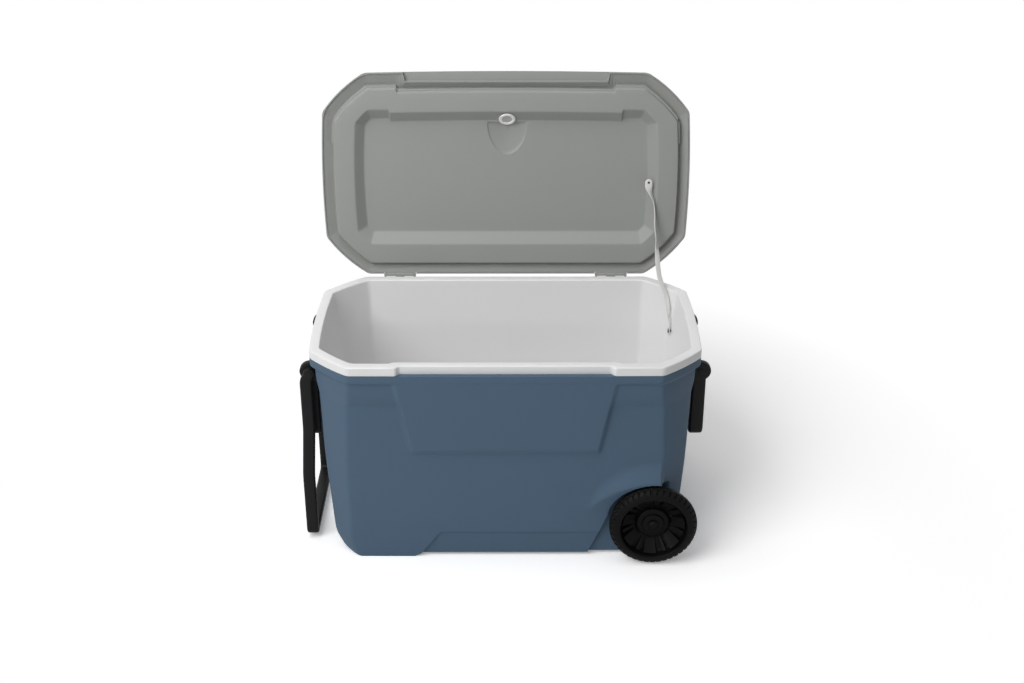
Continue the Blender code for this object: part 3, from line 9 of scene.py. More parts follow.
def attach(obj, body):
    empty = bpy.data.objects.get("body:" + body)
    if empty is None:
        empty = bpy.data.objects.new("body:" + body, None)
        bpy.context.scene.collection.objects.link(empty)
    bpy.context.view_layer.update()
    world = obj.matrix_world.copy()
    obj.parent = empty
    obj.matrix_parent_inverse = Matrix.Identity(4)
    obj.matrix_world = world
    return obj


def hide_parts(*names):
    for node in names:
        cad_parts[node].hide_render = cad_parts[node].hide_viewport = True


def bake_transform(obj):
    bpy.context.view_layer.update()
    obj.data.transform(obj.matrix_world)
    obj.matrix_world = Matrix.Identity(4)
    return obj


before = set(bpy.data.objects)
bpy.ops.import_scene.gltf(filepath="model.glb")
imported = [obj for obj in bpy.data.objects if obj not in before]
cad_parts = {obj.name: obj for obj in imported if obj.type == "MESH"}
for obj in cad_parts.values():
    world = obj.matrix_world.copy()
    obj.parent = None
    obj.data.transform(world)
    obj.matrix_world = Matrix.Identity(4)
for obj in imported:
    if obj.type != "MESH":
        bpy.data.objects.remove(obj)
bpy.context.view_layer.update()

shift = np.array([0.001875, -0.048569, 0.0])  # from the tub's own middle to the world
hinge = {"y": 0.1975, "z": 0.413, "open": math.radians(100.5)}
rim = {"z": 0.41, "x": 0.35, "y": 0.193, "cornerX": 0.073, "cornerY": 0.0685}
rimBows = {"front": 0.001, "corner": 0.003, "end": 0.004, "back": 0.0}
lidRim = {"x": 0.3528, "y": 0.197, "cornerX": 0.081, "cornerY": 0.0745, "along": 0.0004, "side": 0.0013}
lidBows = {"front": 0.003, "corner": 0.0048, "end": 0.004, "back": 0.0}
seam = 0.0003  # between pieces that touch
lidBase = rim["z"] + 0.0006
overrun = 0.05  # how far a cutting tool runs on past what it cuts
core = 0.001  # radius of the first ring of a turned tool
hub = 0.0004  # radius of the first ring of a turned piece


# Shapes from grids of points

def smoothStep(t):
    # 0 up to 0, 1 from 1, and 3 t^2 - 2 t^3 between
    t = np.clip(t, 0.0, 1.0)
    return t * t * (3 - 2 * t)


def roundedPath(points, radii, steps=5, longest=0.012, most=0.48):
    # a broken line whose corners become parabolas that begin and end a radius away, or the most that a run
    # allows, cut into short runs
    points = np.asarray(points, float)
    runs = [points[:1]]
    t = np.linspace(0, 1, steps + 1)[:, None]
    for before, at, after, radius in zip(points, points[1:], points[2:], radii):
        back, ahead = before - at, after - at
        start = at + back * min(radius / max(np.linalg.norm(back[:3]), 1e-9), most)
        end = at + ahead * min(radius / max(np.linalg.norm(ahead[:3]), 1e-9), most)
        runs.append((1 - t) ** 2 * start + 2 * t * (1 - t) * at + t ** 2 * end)
    runs.append(points[-1:])
    path = np.concatenate(runs)
    gaps = np.linalg.norm(np.diff(path[:, :3], axis=0), axis=1)
    parts = [path[:1]]
    for i, gap in enumerate(gaps):
        count = max(1, math.ceil(gap / longest))
        shares = np.linspace(0, 1, count + 1)[1:, None]
        parts.append(path[i] + (path[i + 1] - path[i]) * shares)
    return np.concatenate(parts)


def stopsAlong(fine):
    # places along a long side: far apart in its middle, close together where a setback can begin or end
    half = np.concatenate([np.arange(0.01, 0.15, 0.014), np.arange(0.156, 0.2485, fine)])
    return np.concatenate([-half[::-1], [0.0], half])


frontStops = stopsAlong(0.0018)
trayStops = stopsAlong(0.0009)
plainStops = np.linspace(-0.245, 0.245, 21)
stopsReach = 0.249  # just past the last stop
stopsRoom = 0.003  # between the last stop and the corner
mostTrim = 0.45  # of a side, for one rounded corner


def outline(sections, corner=0.012, front=frontStops, back=plainStops, bows=rimBows, slant=0.01, ends=15,
            cuts=7):
    # Rings round an oblong with cut corners. Each of its eight sides bows out as 4 s (1 - s), and parabolas
    # join them. A section is z, half x, half y, cut x, cut y, setback of the front's middle, half the
    # setback's length, and shift in y. The bow of a cut corner is for the rim's own corner: a shorter one
    # keeps its curve, so its lift goes as length^2.
    z, x, y, cutX, cutY, setback, half, along = np.moveaxis(np.asarray(sections, float), -1, 0)
    flatX, flatY = x - cutX, y - cutY
    spots = np.stack([np.stack(p, -1) for p in (
        (-flatX, -y), (flatX, -y), (x, -flatY), (x, flatY),
        (flatX, y), (-flatX, y), (-x, flatY), (-x, -flatY))], 1)
    bow = [bows[k] for k in ("front", "corner", "end", "corner", "back", "corner", "end", "corner")]
    ways = np.roll(spots, -1, axis=1) - spots
    lengths = np.linalg.norm(ways, axis=2)
    outward = np.stack([ways[..., 1], -ways[..., 0]], -1) / lengths[..., None]
    trim = np.minimum(corner / lengths, mostTrim)
    cutLength = math.hypot(rim["cornerX"], rim["cornerY"])

    def side(k, s):
        share = (lengths[:, k, None] / cutLength) ** 2 if k % 2 else 1.0
        lift = share * bow[k] * 4 * s * (1 - s)
        return spots[:, k, None] + ways[:, k, None] * s[..., None] + outward[:, k, None] * lift[..., None]

    def shares(k):
        low, high = trim[:, k, None], 1 - trim[:, k, None]
        if k in (0, 4):
            fit = np.minimum(1, (flatX - corner - stopsRoom) / stopsReach)[:, None]
            s = 0.5 + (front if k == 0 else back)[None] * fit / lengths[:, k, None]
            return np.concatenate([low, (low + s[:, :1]) / 2, s, (high + s[:, -1:]) / 2, high], 1)
        return low + (high - low) * np.linspace(0, 1, ends if k in (2, 6) else cuts)[None]

    t = np.linspace(0, 1, 8)[1:-1][None, :, None]
    pieces = []
    for k in range(8):
        after = (k + 1) % 8
        pieces.append(side(k, shares(k)))
        start, end = side(k, 1 - trim[:, k, None]), side(after, trim[:, after, None])
        pieces.append((1 - t) ** 2 * start + 2 * t * (1 - t) * spots[:, after, None] + t ** 2 * end)
    flat = np.concatenate(pieces, 1)
    count = len(front) + 4  # points along the front
    drawn = smoothStep((half[:, None] + slant - np.abs(flat[:, :count, 0])) / slant)
    flat[:, :count, 1] += setback[:, None] * drawn
    flat[:, :, 1] += along[:, None]
    return np.concatenate([flat, np.broadcast_to(z[:, None, None], flat.shape[:2] + (1,))], 2)


def drawnIn(section, by):
    # a section drawn in by the same distance all round
    z, x, y, cutX, cutY, setback, half, along = section
    loss = cutX + cutY - math.hypot(cutX, cutY)
    return (z, x - by, y - by, cutX - by * loss / cutY, cutY - by * loss / cutX, setback, half, along)


def rimSection(by, z, setback=0.0, half=0.1835):
    # the rim's outline at a height, drawn in by a distance
    return drawnIn((z, rim["x"], rim["y"], rim["cornerX"], rim["cornerY"], setback, half, 0.0), by)


def lidSection(by, z, setback=0.0, half=0.19):
    # the same for the shut lid
    r = lidRim
    return drawnIn((z, r["x"], r["y"], r["cornerX"], r["cornerY"], setback, half, r["along"]), by)


def lidTurn(points):
    # turns a shut lid's points back by the opening angle about the hinge
    c, s = math.cos(hinge["open"]), math.sin(hinge["open"])
    y, z = points[..., 1] - hinge["y"], points[..., 2] - hinge["z"]
    return np.stack([points[..., 0], hinge["y"] + y * c + z * s, hinge["z"] - y * s + z * c], -1)


def added(name, data):
    # a new object in the scene
    made = bpy.data.objects.new(name, data)
    bpy.context.scene.collection.objects.link(made)
    return made


def quadsOf(grid):
    # the first row's numbers, the last row's, and the quads between the rows, which close on themselves
    rows, columns = grid.shape[:2]
    index = np.arange(rows * columns).reshape(rows, columns)
    beside = np.roll(index, -1, axis=1)
    return index[0], index[-1], np.stack([index[:-1], beside[:-1], beside[1:], index[1:]], -1).reshape(-1, 4)


def skin(name, grid):
    # quads between the rows of a grid that closes on itself sideways, and a flat face over each end. The
    # signed volume, a third of the sum of a . (b x c) over its triangles, says which way round the faces go.
    low, high, quads = quadsOf(grid)
    faces = quads.tolist() + [low[::-1].tolist(), high.tolist()]
    points = grid.reshape(-1, 3)
    fans = np.concatenate([quads[:, [0, 1, 2]], quads[:, [0, 2, 3]],
                           np.stack([np.full(len(low) - 2, low[0]), low[2:], low[1:-1]], -1),
                           np.stack([np.full(len(low) - 2, high[0]), high[1:-1], high[2:]], -1)])
    a, b, c = (points[fans[:, k]] - points.mean(0) for k in range(3))
    if np.einsum("ij,ij->i", a, np.cross(b, c)).sum() < 0:
        faces = [face[::-1] for face in faces]
    mesh = bpy.data.meshes.new(name)
    mesh.from_pydata(points + shift, [], faces)
    return added(name, mesh)


def turned(name, profile, centre, axis, steps=96, reshape=None):
    # a profile of (radius, height) carried round an axis; reshape may move radius and height over the angle
    angle = np.linspace(0, 2 * math.pi, steps, endpoint=False)[None]
    profile = np.asarray(profile, float)
    radius, height = (profile[:, k, None] * np.ones_like(angle) for k in (0, 1))
    if reshape:
        radius, height = reshape(radius, height, angle)
    axis = np.asarray(axis, float) / np.linalg.norm(axis)
    first = np.cross(axis, (0, 0, 1) if abs(axis[2]) < 0.9 else (1, 0, 0))
    first /= np.linalg.norm(first)
    second = np.cross(axis, first)
    grid = (np.asarray(centre) + radius[..., None] * (np.cos(angle)[..., None] * first
            + np.sin(angle)[..., None] * second) + height[..., None] * axis)
    return skin(name, grid)


def rod(name, radius, low, high, centre, axis, steps=48):
    # a plain cylinder between two heights on its axis
    return turned(name, [(radius, low), (radius, high)], centre, axis, steps)


def prism(name, plan, low, high):
    # a flat outline at two ends, joined; plan gives the points at each end
    return skin(name, np.stack([np.asarray(plan(low), float), np.asarray(plan(high), float)]))


def block(name, low, high):
    # a box between two corners
    (x0, y0, z0), (x1, y1, z1) = low, high
    return prism(name, lambda z: [(x0, y0, z), (x1, y0, z), (x1, y1, z), (x0, y1, z)], z0, z1)


def oblong(half, high, edge, steps):
    # a section with round corners: the corner's middle plus edge (cos a, sin a) over each quarter turn
    turn = (np.radians(np.arange(4) * 90)[:, None] + np.linspace(0, math.pi / 2, steps)).ravel()[None]
    right, up = (np.repeat(signs, steps)[None] for signs in ([1, -1, -1, 1], [1, 1, -1, -1]))
    return right * (half - edge) + edge * np.cos(turn), up * (high - edge) + edge * np.sin(turn)


def carve(piece, tools, operation="DIFFERENCE"):
    # cuts each tool out of a piece, or joins or keeps it; the modifiers' result becomes the mesh
    for tool in tools:
        step = piece.modifiers.new(tool.name, "BOOLEAN")
        step.operation, step.solver, step.object = operation, "MANIFOLD", tool
    bpy.context.view_layer.update()
    graph = bpy.context.evaluated_depsgraph_get()
    fresh = bpy.data.meshes.new_from_object(piece.evaluated_get(graph))
    piece.modifiers.clear()
    piece.data = fresh
    for tool in tools:
        bpy.data.objects.remove(tool)


def settle(piece, name, body, slot, nodes, crease, finish=None):
    # gives a shape its name, the finish for its slot, smooth shading and its body, and hides the CAD nodes
    # that it replaces
    piece.name = piece.data.name = name
    piece.data.materials.clear()
    piece.data.materials.append(finishes[finish or slotFinish[slot]])
    piece.data.shade_smooth()
    piece.data.set_sharp_from_angle(angle=math.radians(crease))
    if body:
        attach(piece, body)
    if nodes:
        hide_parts(*nodes)
    return piece


# Finishes

class Value:
    # a shader socket in an expression: + - and * add Math nodes, with a number on either side
    def __init__(self, tree, socket):
        self.tree = tree
        self.socket = socket

    def add(self, kind, settings, inputs, output=0):
        # any node by its type: its settings first, then its sockets' values or links
        made = self.tree.nodes.new("ShaderNode" + kind)
        for key, value in settings.items():
            setattr(made, key, value)
        for key, value in inputs.items():
            if isinstance(value, Value):
                self.tree.links.new(value.socket, made.inputs[key])
            else:
                made.inputs[key].default_value = value
        return Value(self.tree, made.outputs[output])

    def math(self, operation, first, second):
        return self.add("Math", {"operation": operation}, {0: first, 1: second})

    def held(self, low=0.0, high=1.0):
        # kept between two numbers
        return self.math("MINIMUM", self.math("MAXIMUM", self, low), high)

    def __add__(self, other):
        return self.math("ADD", self, other)

    def __sub__(self, other):
        return self.math("SUBTRACT", self, other)

    def __rsub__(self, other):
        return self.math("SUBTRACT", other, self)

    def __mul__(self, other):
        return self.math("MULTIPLY", self, other)

    __radd__ = __add__
    __rmul__ = __mul__


def tint(colour, by):
    # a colour times a number, opaque
    return tuple(min(1.0, c * by) for c in colour) + (1.0,)


def finishOf(name, look):
    # colour clouds, a fine moulded grain and long soft waves, all in Object coordinates
    made = bpy.data.materials.new(name)
    made.use_nodes = True
    tree = made.node_tree
    shader = tree.nodes["Principled BSDF"]
    place = Value(tree, tree.nodes.new("ShaderNodeTexCoord").outputs["Object"])

    def noise(scale, detail, roughness):
        inputs = {"Vector": place, "Scale": scale, "Detail": detail, "Roughness": roughness}
        return place.add("TexNoise", {"noise_dimensions": "3D"}, inputs)

    grainScale, grainDepth = look["grain"]
    waveScale, waveDepth = look["wave"]
    rough, roughSpread = look["rough"]
    grain = noise(grainScale, 3.0, 0.6)
    cloud = noise(look["cloud"], 4.0, 0.55)
    wave = noise(waveScale, 1.0, 0.4)
    dark, light = (tint(look["colour"], 1 + by) for by in (-look["spread"], look["spread"]))
    colour = place.add("Mix", {"data_type": "RGBA"}, {0: cloud * 0.7 + grain * 0.3, 6: dark, 7: light}, 2)
    roughness = (grain - 0.5) * roughSpread + (cloud - 0.5) * roughSpread + rough
    height = grain * grainDepth + wave * waveDepth
    bump = place.add("Bump", {}, {"Height": height, "Strength": look["bump"], "Distance": 1.0})
    for key, value in (("Base Color", colour), ("Roughness", roughness), ("Normal", bump)):
        tree.links.new(value.socket, shader.inputs[key])
    shader.inputs["Metallic"].default_value = look.get("metal", 0.0)
    shader.inputs["IOR"].default_value = 1.5
    shader.inputs["Specular IOR Level"].default_value = look.get("sheen", 0.4)
    return made


finishLooks = {  # "rough" is the roughness and its spread, "grain" and "wave" are a scale and a depth
    "tub blue": {"colour": (0.08, 0.131, 0.193), "spread": 0.05, "rough": (0.5, 0.1),
                 "grain": (1500.0, 0.00025), "cloud": 9.0, "wave": (18.0, 0.0004), "bump": 0.55,
                 "sheen": 0.14},
    "lid grey": {"colour": (0.306, 0.316, 0.3), "spread": 0.035, "rough": (0.55, 0.1),
                 "grain": (1500.0, 0.00022), "cloud": 9.0, "wave": (14.0, 0.0005), "bump": 0.55},
    "liner white": {"colour": (0.8, 0.8, 0.8), "spread": 0.015, "rough": (0.32, 0.08), "sheen": 0.45,
                    "grain": (700.0, 0.00005), "cloud": 7.0, "wave": (12.0, 0.0005), "bump": 0.6},
    # plug white: the ring's white, made lighter than the liner's white as painted light
    "plug white with painted light": {"colour": (0.93, 0.93, 0.93), "spread": 0.01, "rough": (0.35, 0.08),
                   "grain": (900.0, 0.00005), "cloud": 30.0, "wave": (40.0, 0.0002), "bump": 0.5},
    # plug grey: painted shade, a grey in place of the shade in the button's dish
    "plug painted shade grey": {"colour": (0.5, 0.5, 0.49), "spread": 0.02, "rough": (0.4, 0.08),
                  "grain": (900.0, 0.00005), "cloud": 30.0, "wave": (40.0, 0.0002), "bump": 0.5},
    "handle black": {"colour": (0.01, 0.01, 0.0105), "spread": 0.12, "rough": (0.42, 0.12), "sheen": 0.14,
                     "grain": (1300.0, 0.00018), "cloud": 25.0, "wave": (40.0, 0.0002), "bump": 0.6},
    "wheel black": {"colour": (0.002, 0.002, 0.0022), "spread": 0.15, "rough": (0.5, 0.15), "sheen": 0.1,
                    "grain": (900.0, 0.00025), "cloud": 30.0, "wave": (60.0, 0.0002), "bump": 0.7},
    "zinc steel": {"colour": (0.55, 0.56, 0.57), "spread": 0.06, "rough": (0.33, 0.18), "metal": 1.0,
                   "grain": (500.0, 0.00006), "cloud": 60.0, "wave": (90.0, 0.00005), "bump": 0.5},
    "rigid foam": {"colour": (0.72, 0.62, 0.36), "spread": 0.08, "rough": (0.9, 0.08), "sheen": 0.1,
                   "grain": (600.0, 0.0008), "cloud": 20.0, "wave": (40.0, 0.001), "bump": 0.8},
    "gasket rubber": {"colour": (0.03, 0.03, 0.03), "spread": 0.1, "rough": (0.8, 0.1), "sheen": 0.2,
                      "grain": (800.0, 0.0002), "cloud": 40.0, "wave": (60.0, 0.0002), "bump": 0.6},
    "strap white": {"colour": (0.74, 0.74, 0.72), "spread": 0.03, "rough": (0.5, 0.12),
                    "grain": (1200.0, 0.00015), "cloud": 40.0, "wave": (60.0, 0.0003), "bump": 0.6},
}
finishes = {name: finishOf(name, look) for name, look in finishLooks.items()}
slotFinish = {"tub_blue": "tub blue", "lid_grey": "lid grey", "liner_white": "liner white",
              "handle_black": "handle black", "steel": "zinc steel", "foam_yellow": "rigid foam",
              "gasket_rubber": "gasket rubber", "strap_white": "strap white"}
nodeFinish = {"pivot_pin": "handle black", "hinge_pin": "handle black", "axle_cap": "wheel black",
              "hinge_leaf": "lid grey"}
for name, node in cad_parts.items():
    for place in node.material_slots:
        place.material = finishes[slotFinish[place.material.name.split(".")[0]]]
    for start, finish in nodeFinish.items():
        if name.startswith(start):
            node.material_slots[0].material = finishes[finish]
print("finishes made:", len(finishes))


# The tub's outer shell

shellShape = {
    "sections": [  # height, half length, half width, and how far each corner is cut along x and y
        (0.000, 0.288, 0.17383, 0.015, 0.0145), (0.01, 0.304, 0.17383, 0.024, 0.023),
        (0.036, 0.3195, 0.1745, 0.033, 0.0315), (0.196, 0.3315, 0.1775, 0.0445, 0.042),
        (0.325, 0.335, 0.18, 0.053, 0.05), (0.35, 0.3405, 0.1879, 0.0632, 0.0628),
        (0.374, 0.341, 0.188, 0.064, 0.0635), (0.378, 0.35, 0.193, 0.073, 0.0685),
        (0.3935, 0.35, 0.193, 0.073, 0.0685)],
    "softness": [0.008, 0.012, 0.04, 0.004, 0.014, 0.004, 0.003], "wall": 0.003, "cornerSoftness": 0.006,
    "opening": 0.0148, "panelTop": 0.205, "panelFoot": 0.174, "panelHigh": 0.39, "panelLow": 0.225,
    "panelProud": 0.0065, "panelEdge": 0.011, "raise": 0.006, "plinthHigh": 0.055, "plinthStart": -0.158,
    "plinthSlant": 0.037, "plinthBack": 0.008, "heel": 0.012,
}
wheelShape = {"x": 0.272, "y": 0.19, "z": 0.081, "radius": 0.081, "half": 0.017, "bore": 0.00508}
wellShape = {"radius": 0.0845, "back": 0.164, "recessFoot": 0.154, "recessTop": 0.191, "recessHigh": 0.0995,
             "lip": 0.004, "lipOut": 0.192, "spread": 0.048, "flareWall": 0.17, "fadeWall": 0.1775,
             "fadeFrom": 0.105, "soft": 0.004, "end": 0.286, "flatEnd": 0.296, "round": 0.0022,
             "backRound": 0.002, "channel": 0.018, "channelHalf": 0.13}
drainShape = {"x": -0.3258, "z": 0.082, "hole": 0.0108, "from": -0.02, "to": 0.07}


def frontWall(z):
    # half width of the shell at a height
    heights, widths = zip(*[(s[0], s[2]) for s in shellShape["sections"]])
    return np.interp(z, heights, widths)


def panelLift(x, z, wall):
    # how far the raised panel stands out: full inside its slanted sides, falling off softly at its edges
    s = shellShape
    rise = (z - s["panelLow"]) / (s["panelHigh"] - s["panelLow"])
    half = s["panelFoot"] + (s["panelTop"] - s["panelFoot"]) * rise
    face = frontWall(s["panelLow"]) + s["panelProud"]
    face = face + (rim["y"] + rimBows["front"] - face) * np.clip(rise, 0, 1.02)
    inside = smoothStep((half - np.abs(x)) / s["panelEdge"])
    inside = inside * smoothStep((z - s["panelLow"]) / s["panelEdge"])
    return np.maximum(face - wall, 0) * inside


def fenderLift(x, z, wall):
    # a flare round the wheel, widest at its lip and fading out down its sides, that begins as a parabola
    w, soft = wellShape, wellShape["soft"]
    away = np.hypot(x - wheelShape["x"], z - wheelShape["z"]) - w["radius"] - w["lip"]
    proud = (w["lipOut"] - wall) - np.maximum(away, 0) * (w["lipOut"] - w["flareWall"]) / w["spread"]
    rise = (w["lipOut"] - w["fadeWall"]) / (wheelShape["z"] + w["radius"] - w["fadeFrom"])
    lift = np.minimum(proud, np.maximum((z - w["fadeFrom"]) * rise, 0))
    lift = np.where(lift > soft, lift, np.where(lift > -soft, (lift + soft) ** 2 / (4 * soft), 0))
    return lift * smoothStep((w["end"] + soft - x) / (2 * soft)) * (z > w["fadeFrom"] - soft)


def wellTools(side, grow):
    # what one wheel takes out of the tub: the round well with a rounded mouth, and the slanted recess
    w, soft, low = wellShape, wellShape["round"], -overrun
    radius, reach = w["radius"] + grow, w["lipOut"] - w["back"]
    turn = np.radians(np.linspace(0, 86.4, 7))  # stops just short of the lip
    mouth = [(radius + soft * (1 - math.cos(a)), reach - soft + soft * math.sin(a)) for a in turn]
    mouth = mouth if not grow else [(radius, reach)]
    profile = [(core, -grow), (radius - w["backRound"], -grow), (radius, w["backRound"] - grow)]
    profile += mouth + [(mouth[-1][0], 2 * overrun), (core, 2 * overrun)]
    centre = (wheelShape["x"], side * w["back"], wheelShape["z"])
    well = turned(f"well{side}{grow}", profile, centre, (0, side, 0))
    slope = (w["recessTop"] - w["recessFoot"]) / (w["recessHigh"] - shellShape["raise"])
    foot = w["recessFoot"] - slope * (shellShape["raise"] - low) - grow
    top = w["recessHigh"] + grow
    plan = [(foot, low), (wheelShape["x"], low), (wheelShape["x"], top), (w["recessTop"] - grow, top)]
    ends = side * (w["back"] - grow), side * (rim["y"] + overrun)
    return [well, prism(f"recess{side}{grow}", lambda y: [(x, y, z) for x, z in plan], *ends)]


def plinthTool(side, grow):
    # the undercut face between the foot and the wheel
    s = shellShape
    end, outer = wellShape["recessTop"], side * (rim["y"] + overrun)
    slope = s["plinthSlant"] / (s["plinthHigh"] - s["raise"])

    def plan(z):
        x = s["plinthStart"] - grow + slope * (z - s["raise"])
        y = side * (frontWall(0.0) - grow - (s["plinthBack"] if z < 0 else 0))
        return [(x, outer, z), (end, outer, z), (end, y, z), (x, y, z)]

    return prism(f"plinth{side}{grow}", plan, -overrun, s["plinthHigh"] + grow)


def tubTools(grow):
    # all that is cut out of the tub from below: the raised middle, the axle's channel, wells and plinths
    s, w = shellShape, wellShape
    wide, far = rim["y"] + overrun, rim["x"] + overrun
    half, reach = w["channel"] / 2 + grow, w["back"] + overrun if grow else w["channelHalf"]

    def plan(z):
        x = s["plinthStart"] - s["heel"] - grow + s["heel"] / s["raise"] * z
        return [(x, -wide, z), (far, -wide, z), (far, wide, z), (x, wide, z)]

    tools = [prism(f"underside{grow}", plan, -overrun, s["raise"] + grow),
             block(f"channel{grow}", (wheelShape["x"] - half, -reach, -overrun),
                   (wheelShape["x"] + half, reach, wheelShape["z"] + half))]
    for side in (-1, 1):
        tools += wellTools(side, grow) + [plinthTool(side, grow)]
    return tools


def drainBore():
    # the drain's hole through the tub's end
    d = drainShape
    return rod("drainBore", d["hole"], d["from"], d["to"], (d["x"], 0, d["z"]), (1, 0, 0))


def makeShell():
    # Outside: rings from the sole to the flange, with the panel and the fenders pushed out of them. Inside:
    # the same sections drawn in by the wall, and an opening under the rim.
    s, wall = shellShape, shellShape["wall"]
    level = (0.0, 0.18, 0.0)  # no setback and no shift
    sections = [p + level for p in s["sections"]]
    path = roundedPath(sections, s["softness"], steps=6, longest=0.0045)
    grid = outline(path, s["cornerSoftness"], frontStops, frontStops)
    x, y, z = np.moveaxis(grid, -1, 0)
    fender = fenderLift(x, z, np.abs(y))
    lift = np.where(y < 0, np.maximum(panelLift(x, z, np.abs(y)), fender), fender)
    y += np.sign(y) * np.where(np.abs(x) < wellShape["flatEnd"], lift, 0)
    shell = skin("shellOutside", grid)

    ups = [wall, wall, 0, 0, 0, 0, wall / 2, wall, -wall]  # keeps the wall's thickness at floor and flange
    inner = [drawnIn((p[0] + up,) + p[1:], wall) for p, up in zip(sections, ups)]
    top, opening = sections[-1][0], rimSection(s["opening"], 0.0, 0.0, 0.18)
    inner += [(z,) + opening[1:] for z in (top - wall, top + overrun)]
    path = roundedPath(inner, [0.006] * (len(inner) - 2), steps=2, longest=0.04)
    cavity = skin("cavity", outline(path, s["cornerSoftness"], plainStops, plainStops))
    carve(cavity, tubTools(wall))
    carve(shell, tubTools(0.0) + [cavity, drainBore()])
    return settle(shell, "outer_shell", "tub", "tub_blue", ["shell"], 32)


print("shell made:", len(makeShell().data.polygons))


# The tub's white liner with its rim

linerShape = {
    "wall": 0.0025, "floor": (0.065, 0.296, 0.151, 0.033, 0.0315), "floorMiddle": 0.022,
    "basin": (0.32, 0.32, 0.163, 0.053, 0.05), "humpX": 0.24, "humpZ": 0.11, "humpSoft": 0.01,
    "notch": 0.0075, "notchHalf": 0.1835, "innerNotch": 0.0048, "innerHalf": 0.196, "mouthIn": 0.022,
    "mouthZ": 0.38, "faceIn": 0.018, "bandLow": 0.3938, "bandWall": 0.003, "channelIn": 0.0118,
    "softness": [0.016, 0.008, 0.004, 0.0028, 0.0034, 0.0006, 0.0003, 0.001, 0.001, 0.0003, 0.001, 0.004,
                 0.008, 0.012],
}


def makeLiner():
    # one closed path from the middle of the floor up the inside, over the rim, and down the outside; the hump
    # over the axle's channel is joined to it and hollowed from below
    s, wall = linerShape, linerShape["wall"]
    floor, basin = (s[k] + (0.0, s["notchHalf"], 0.0) for k in ("floor", "basin"))
    outFloor = drawnIn((floor[0] - wall,) + floor[1:], -wall)

    def rimAt(by, z, notch=0.0):
        return rimSection(by, z, notch, s["notchHalf"])

    def mouthAt(by, z):
        return rimSection(by, z, s["innerNotch"], s["innerHalf"])

    top, under, notch = rim["z"], s["bandLow"], s["notch"]
    inside = [drawnIn(floor, s["floorMiddle"]), floor, basin, mouthAt(s["mouthIn"], s["mouthZ"]),
              mouthAt(s["faceIn"], top), rimAt(0.0, top, notch), rimAt(0.0, under, notch),
              rimAt(s["bandWall"], under, notch), rimAt(s["bandWall"], top - s["bandWall"], notch),
              rimAt(s["channelIn"], top - s["bandWall"]), rimAt(s["channelIn"], under),
              mouthAt(s["faceIn"] - wall, under), mouthAt(s["mouthIn"] - wall, s["mouthZ"]),
              drawnIn(basin, -wall), outFloor, drawnIn(outFloor, s["floorMiddle"])]
    path = roundedPath(inside, s["softness"], steps=6, longest=0.02)
    liner = skin("linerSkin", outline(path, 0.006, frontStops, plainStops))
    body = [(z,) + drawnIn(p, -wall / 2)[1:] for p, z in ((floor, floor[0] - wall), (basin, basin[0]))]
    hump = skin("hump", outline(body, 0.006, plainStops, plainStops))
    far, wide, soft = rim["x"] + overrun, rim["y"] + overrun, s["humpSoft"]
    turn = np.linspace(math.pi / 2, 0, 7)
    edge = [(s["humpX"] + soft * (1 - math.sin(a)), s["humpZ"] - soft * (1 - math.cos(a))) for a in turn]
    plan = [(s["humpX"], 0.0)] + edge + [(far, s["humpZ"]), (far, 0.0)]
    carve(hump, [prism("humpKeep", lambda y: [(x, y, z) for x, z in plan], -wide, wide)], "INTERSECT")
    carve(liner, [hump], "UNION")
    below = block("humpUnder", (s["humpX"] + wall, -wide, 0.0), (far, wide, s["humpZ"] - wall))
    carve(liner, [below, drainBore()])
    return settle(liner, "white_liner", "tub", "liner_white", ["liner"], 34)


print("liner made:", len(makeLiner().data.polygons))


# The lid's outer cap

capShape = {
    "edges": [  # how far in from the lid's outline, and how high
        (0.0008, 0.0), (0.0028, 0.03), (0.009, 0.038), (0.02, 0.042), (0.034, 0.042), (0.036, 0.04),
        (0.05, 0.04)],
    "softness": [0.0009, 0.012, 0.005, 0.008, 0.002, 0.002], "lip": 0.0022, "wall": 0.0025, "roof": 0.0045,
    "fingerHalf": 0.1925, "fingerReach": 0.0162, "fingerHigh": 0.008, "fingerSlant": 0.004,
    "padX": 0.2085, "padHalf": 0.031, "padDeep": 0.009, "padOut": 0.001, "padLow": 0.002, "padHigh": 0.03,
    "leafRoom": 0.0012, "leafHigh": 0.032,
}


def fingerTool(grow):
    # what the finger recess takes out of the front edge
    s, edge = capShape, lidRim["along"] - lidRim["y"]
    inner, outer = edge + s["fingerReach"] + grow, edge - overrun
    half = s["fingerHalf"] + grow
    wide = half + s["fingerSlant"]
    plan = [(-wide, outer), (wide, outer), (wide, edge), (half, inner), (-half, inner), (-wide, edge)]
    low, high = lidBase - overrun, lidBase + s["fingerHigh"] + grow
    return prism(f"finger{grow}", lambda z: [(x, y, z) for x, y in plan], low, high)


def placeLid(piece):
    # turns a piece that was made shut to where the open lid stands
    count = len(piece.data.vertices)
    points = np.empty(count * 3)
    piece.data.vertices.foreach_get("co", points)
    points = lidTurn(points.reshape(-1, 3) - shift) + shift + (lidRim["side"], 0, 0)
    piece.data.vertices.foreach_set("co", points.ravel())
    piece.data.update()
    return piece


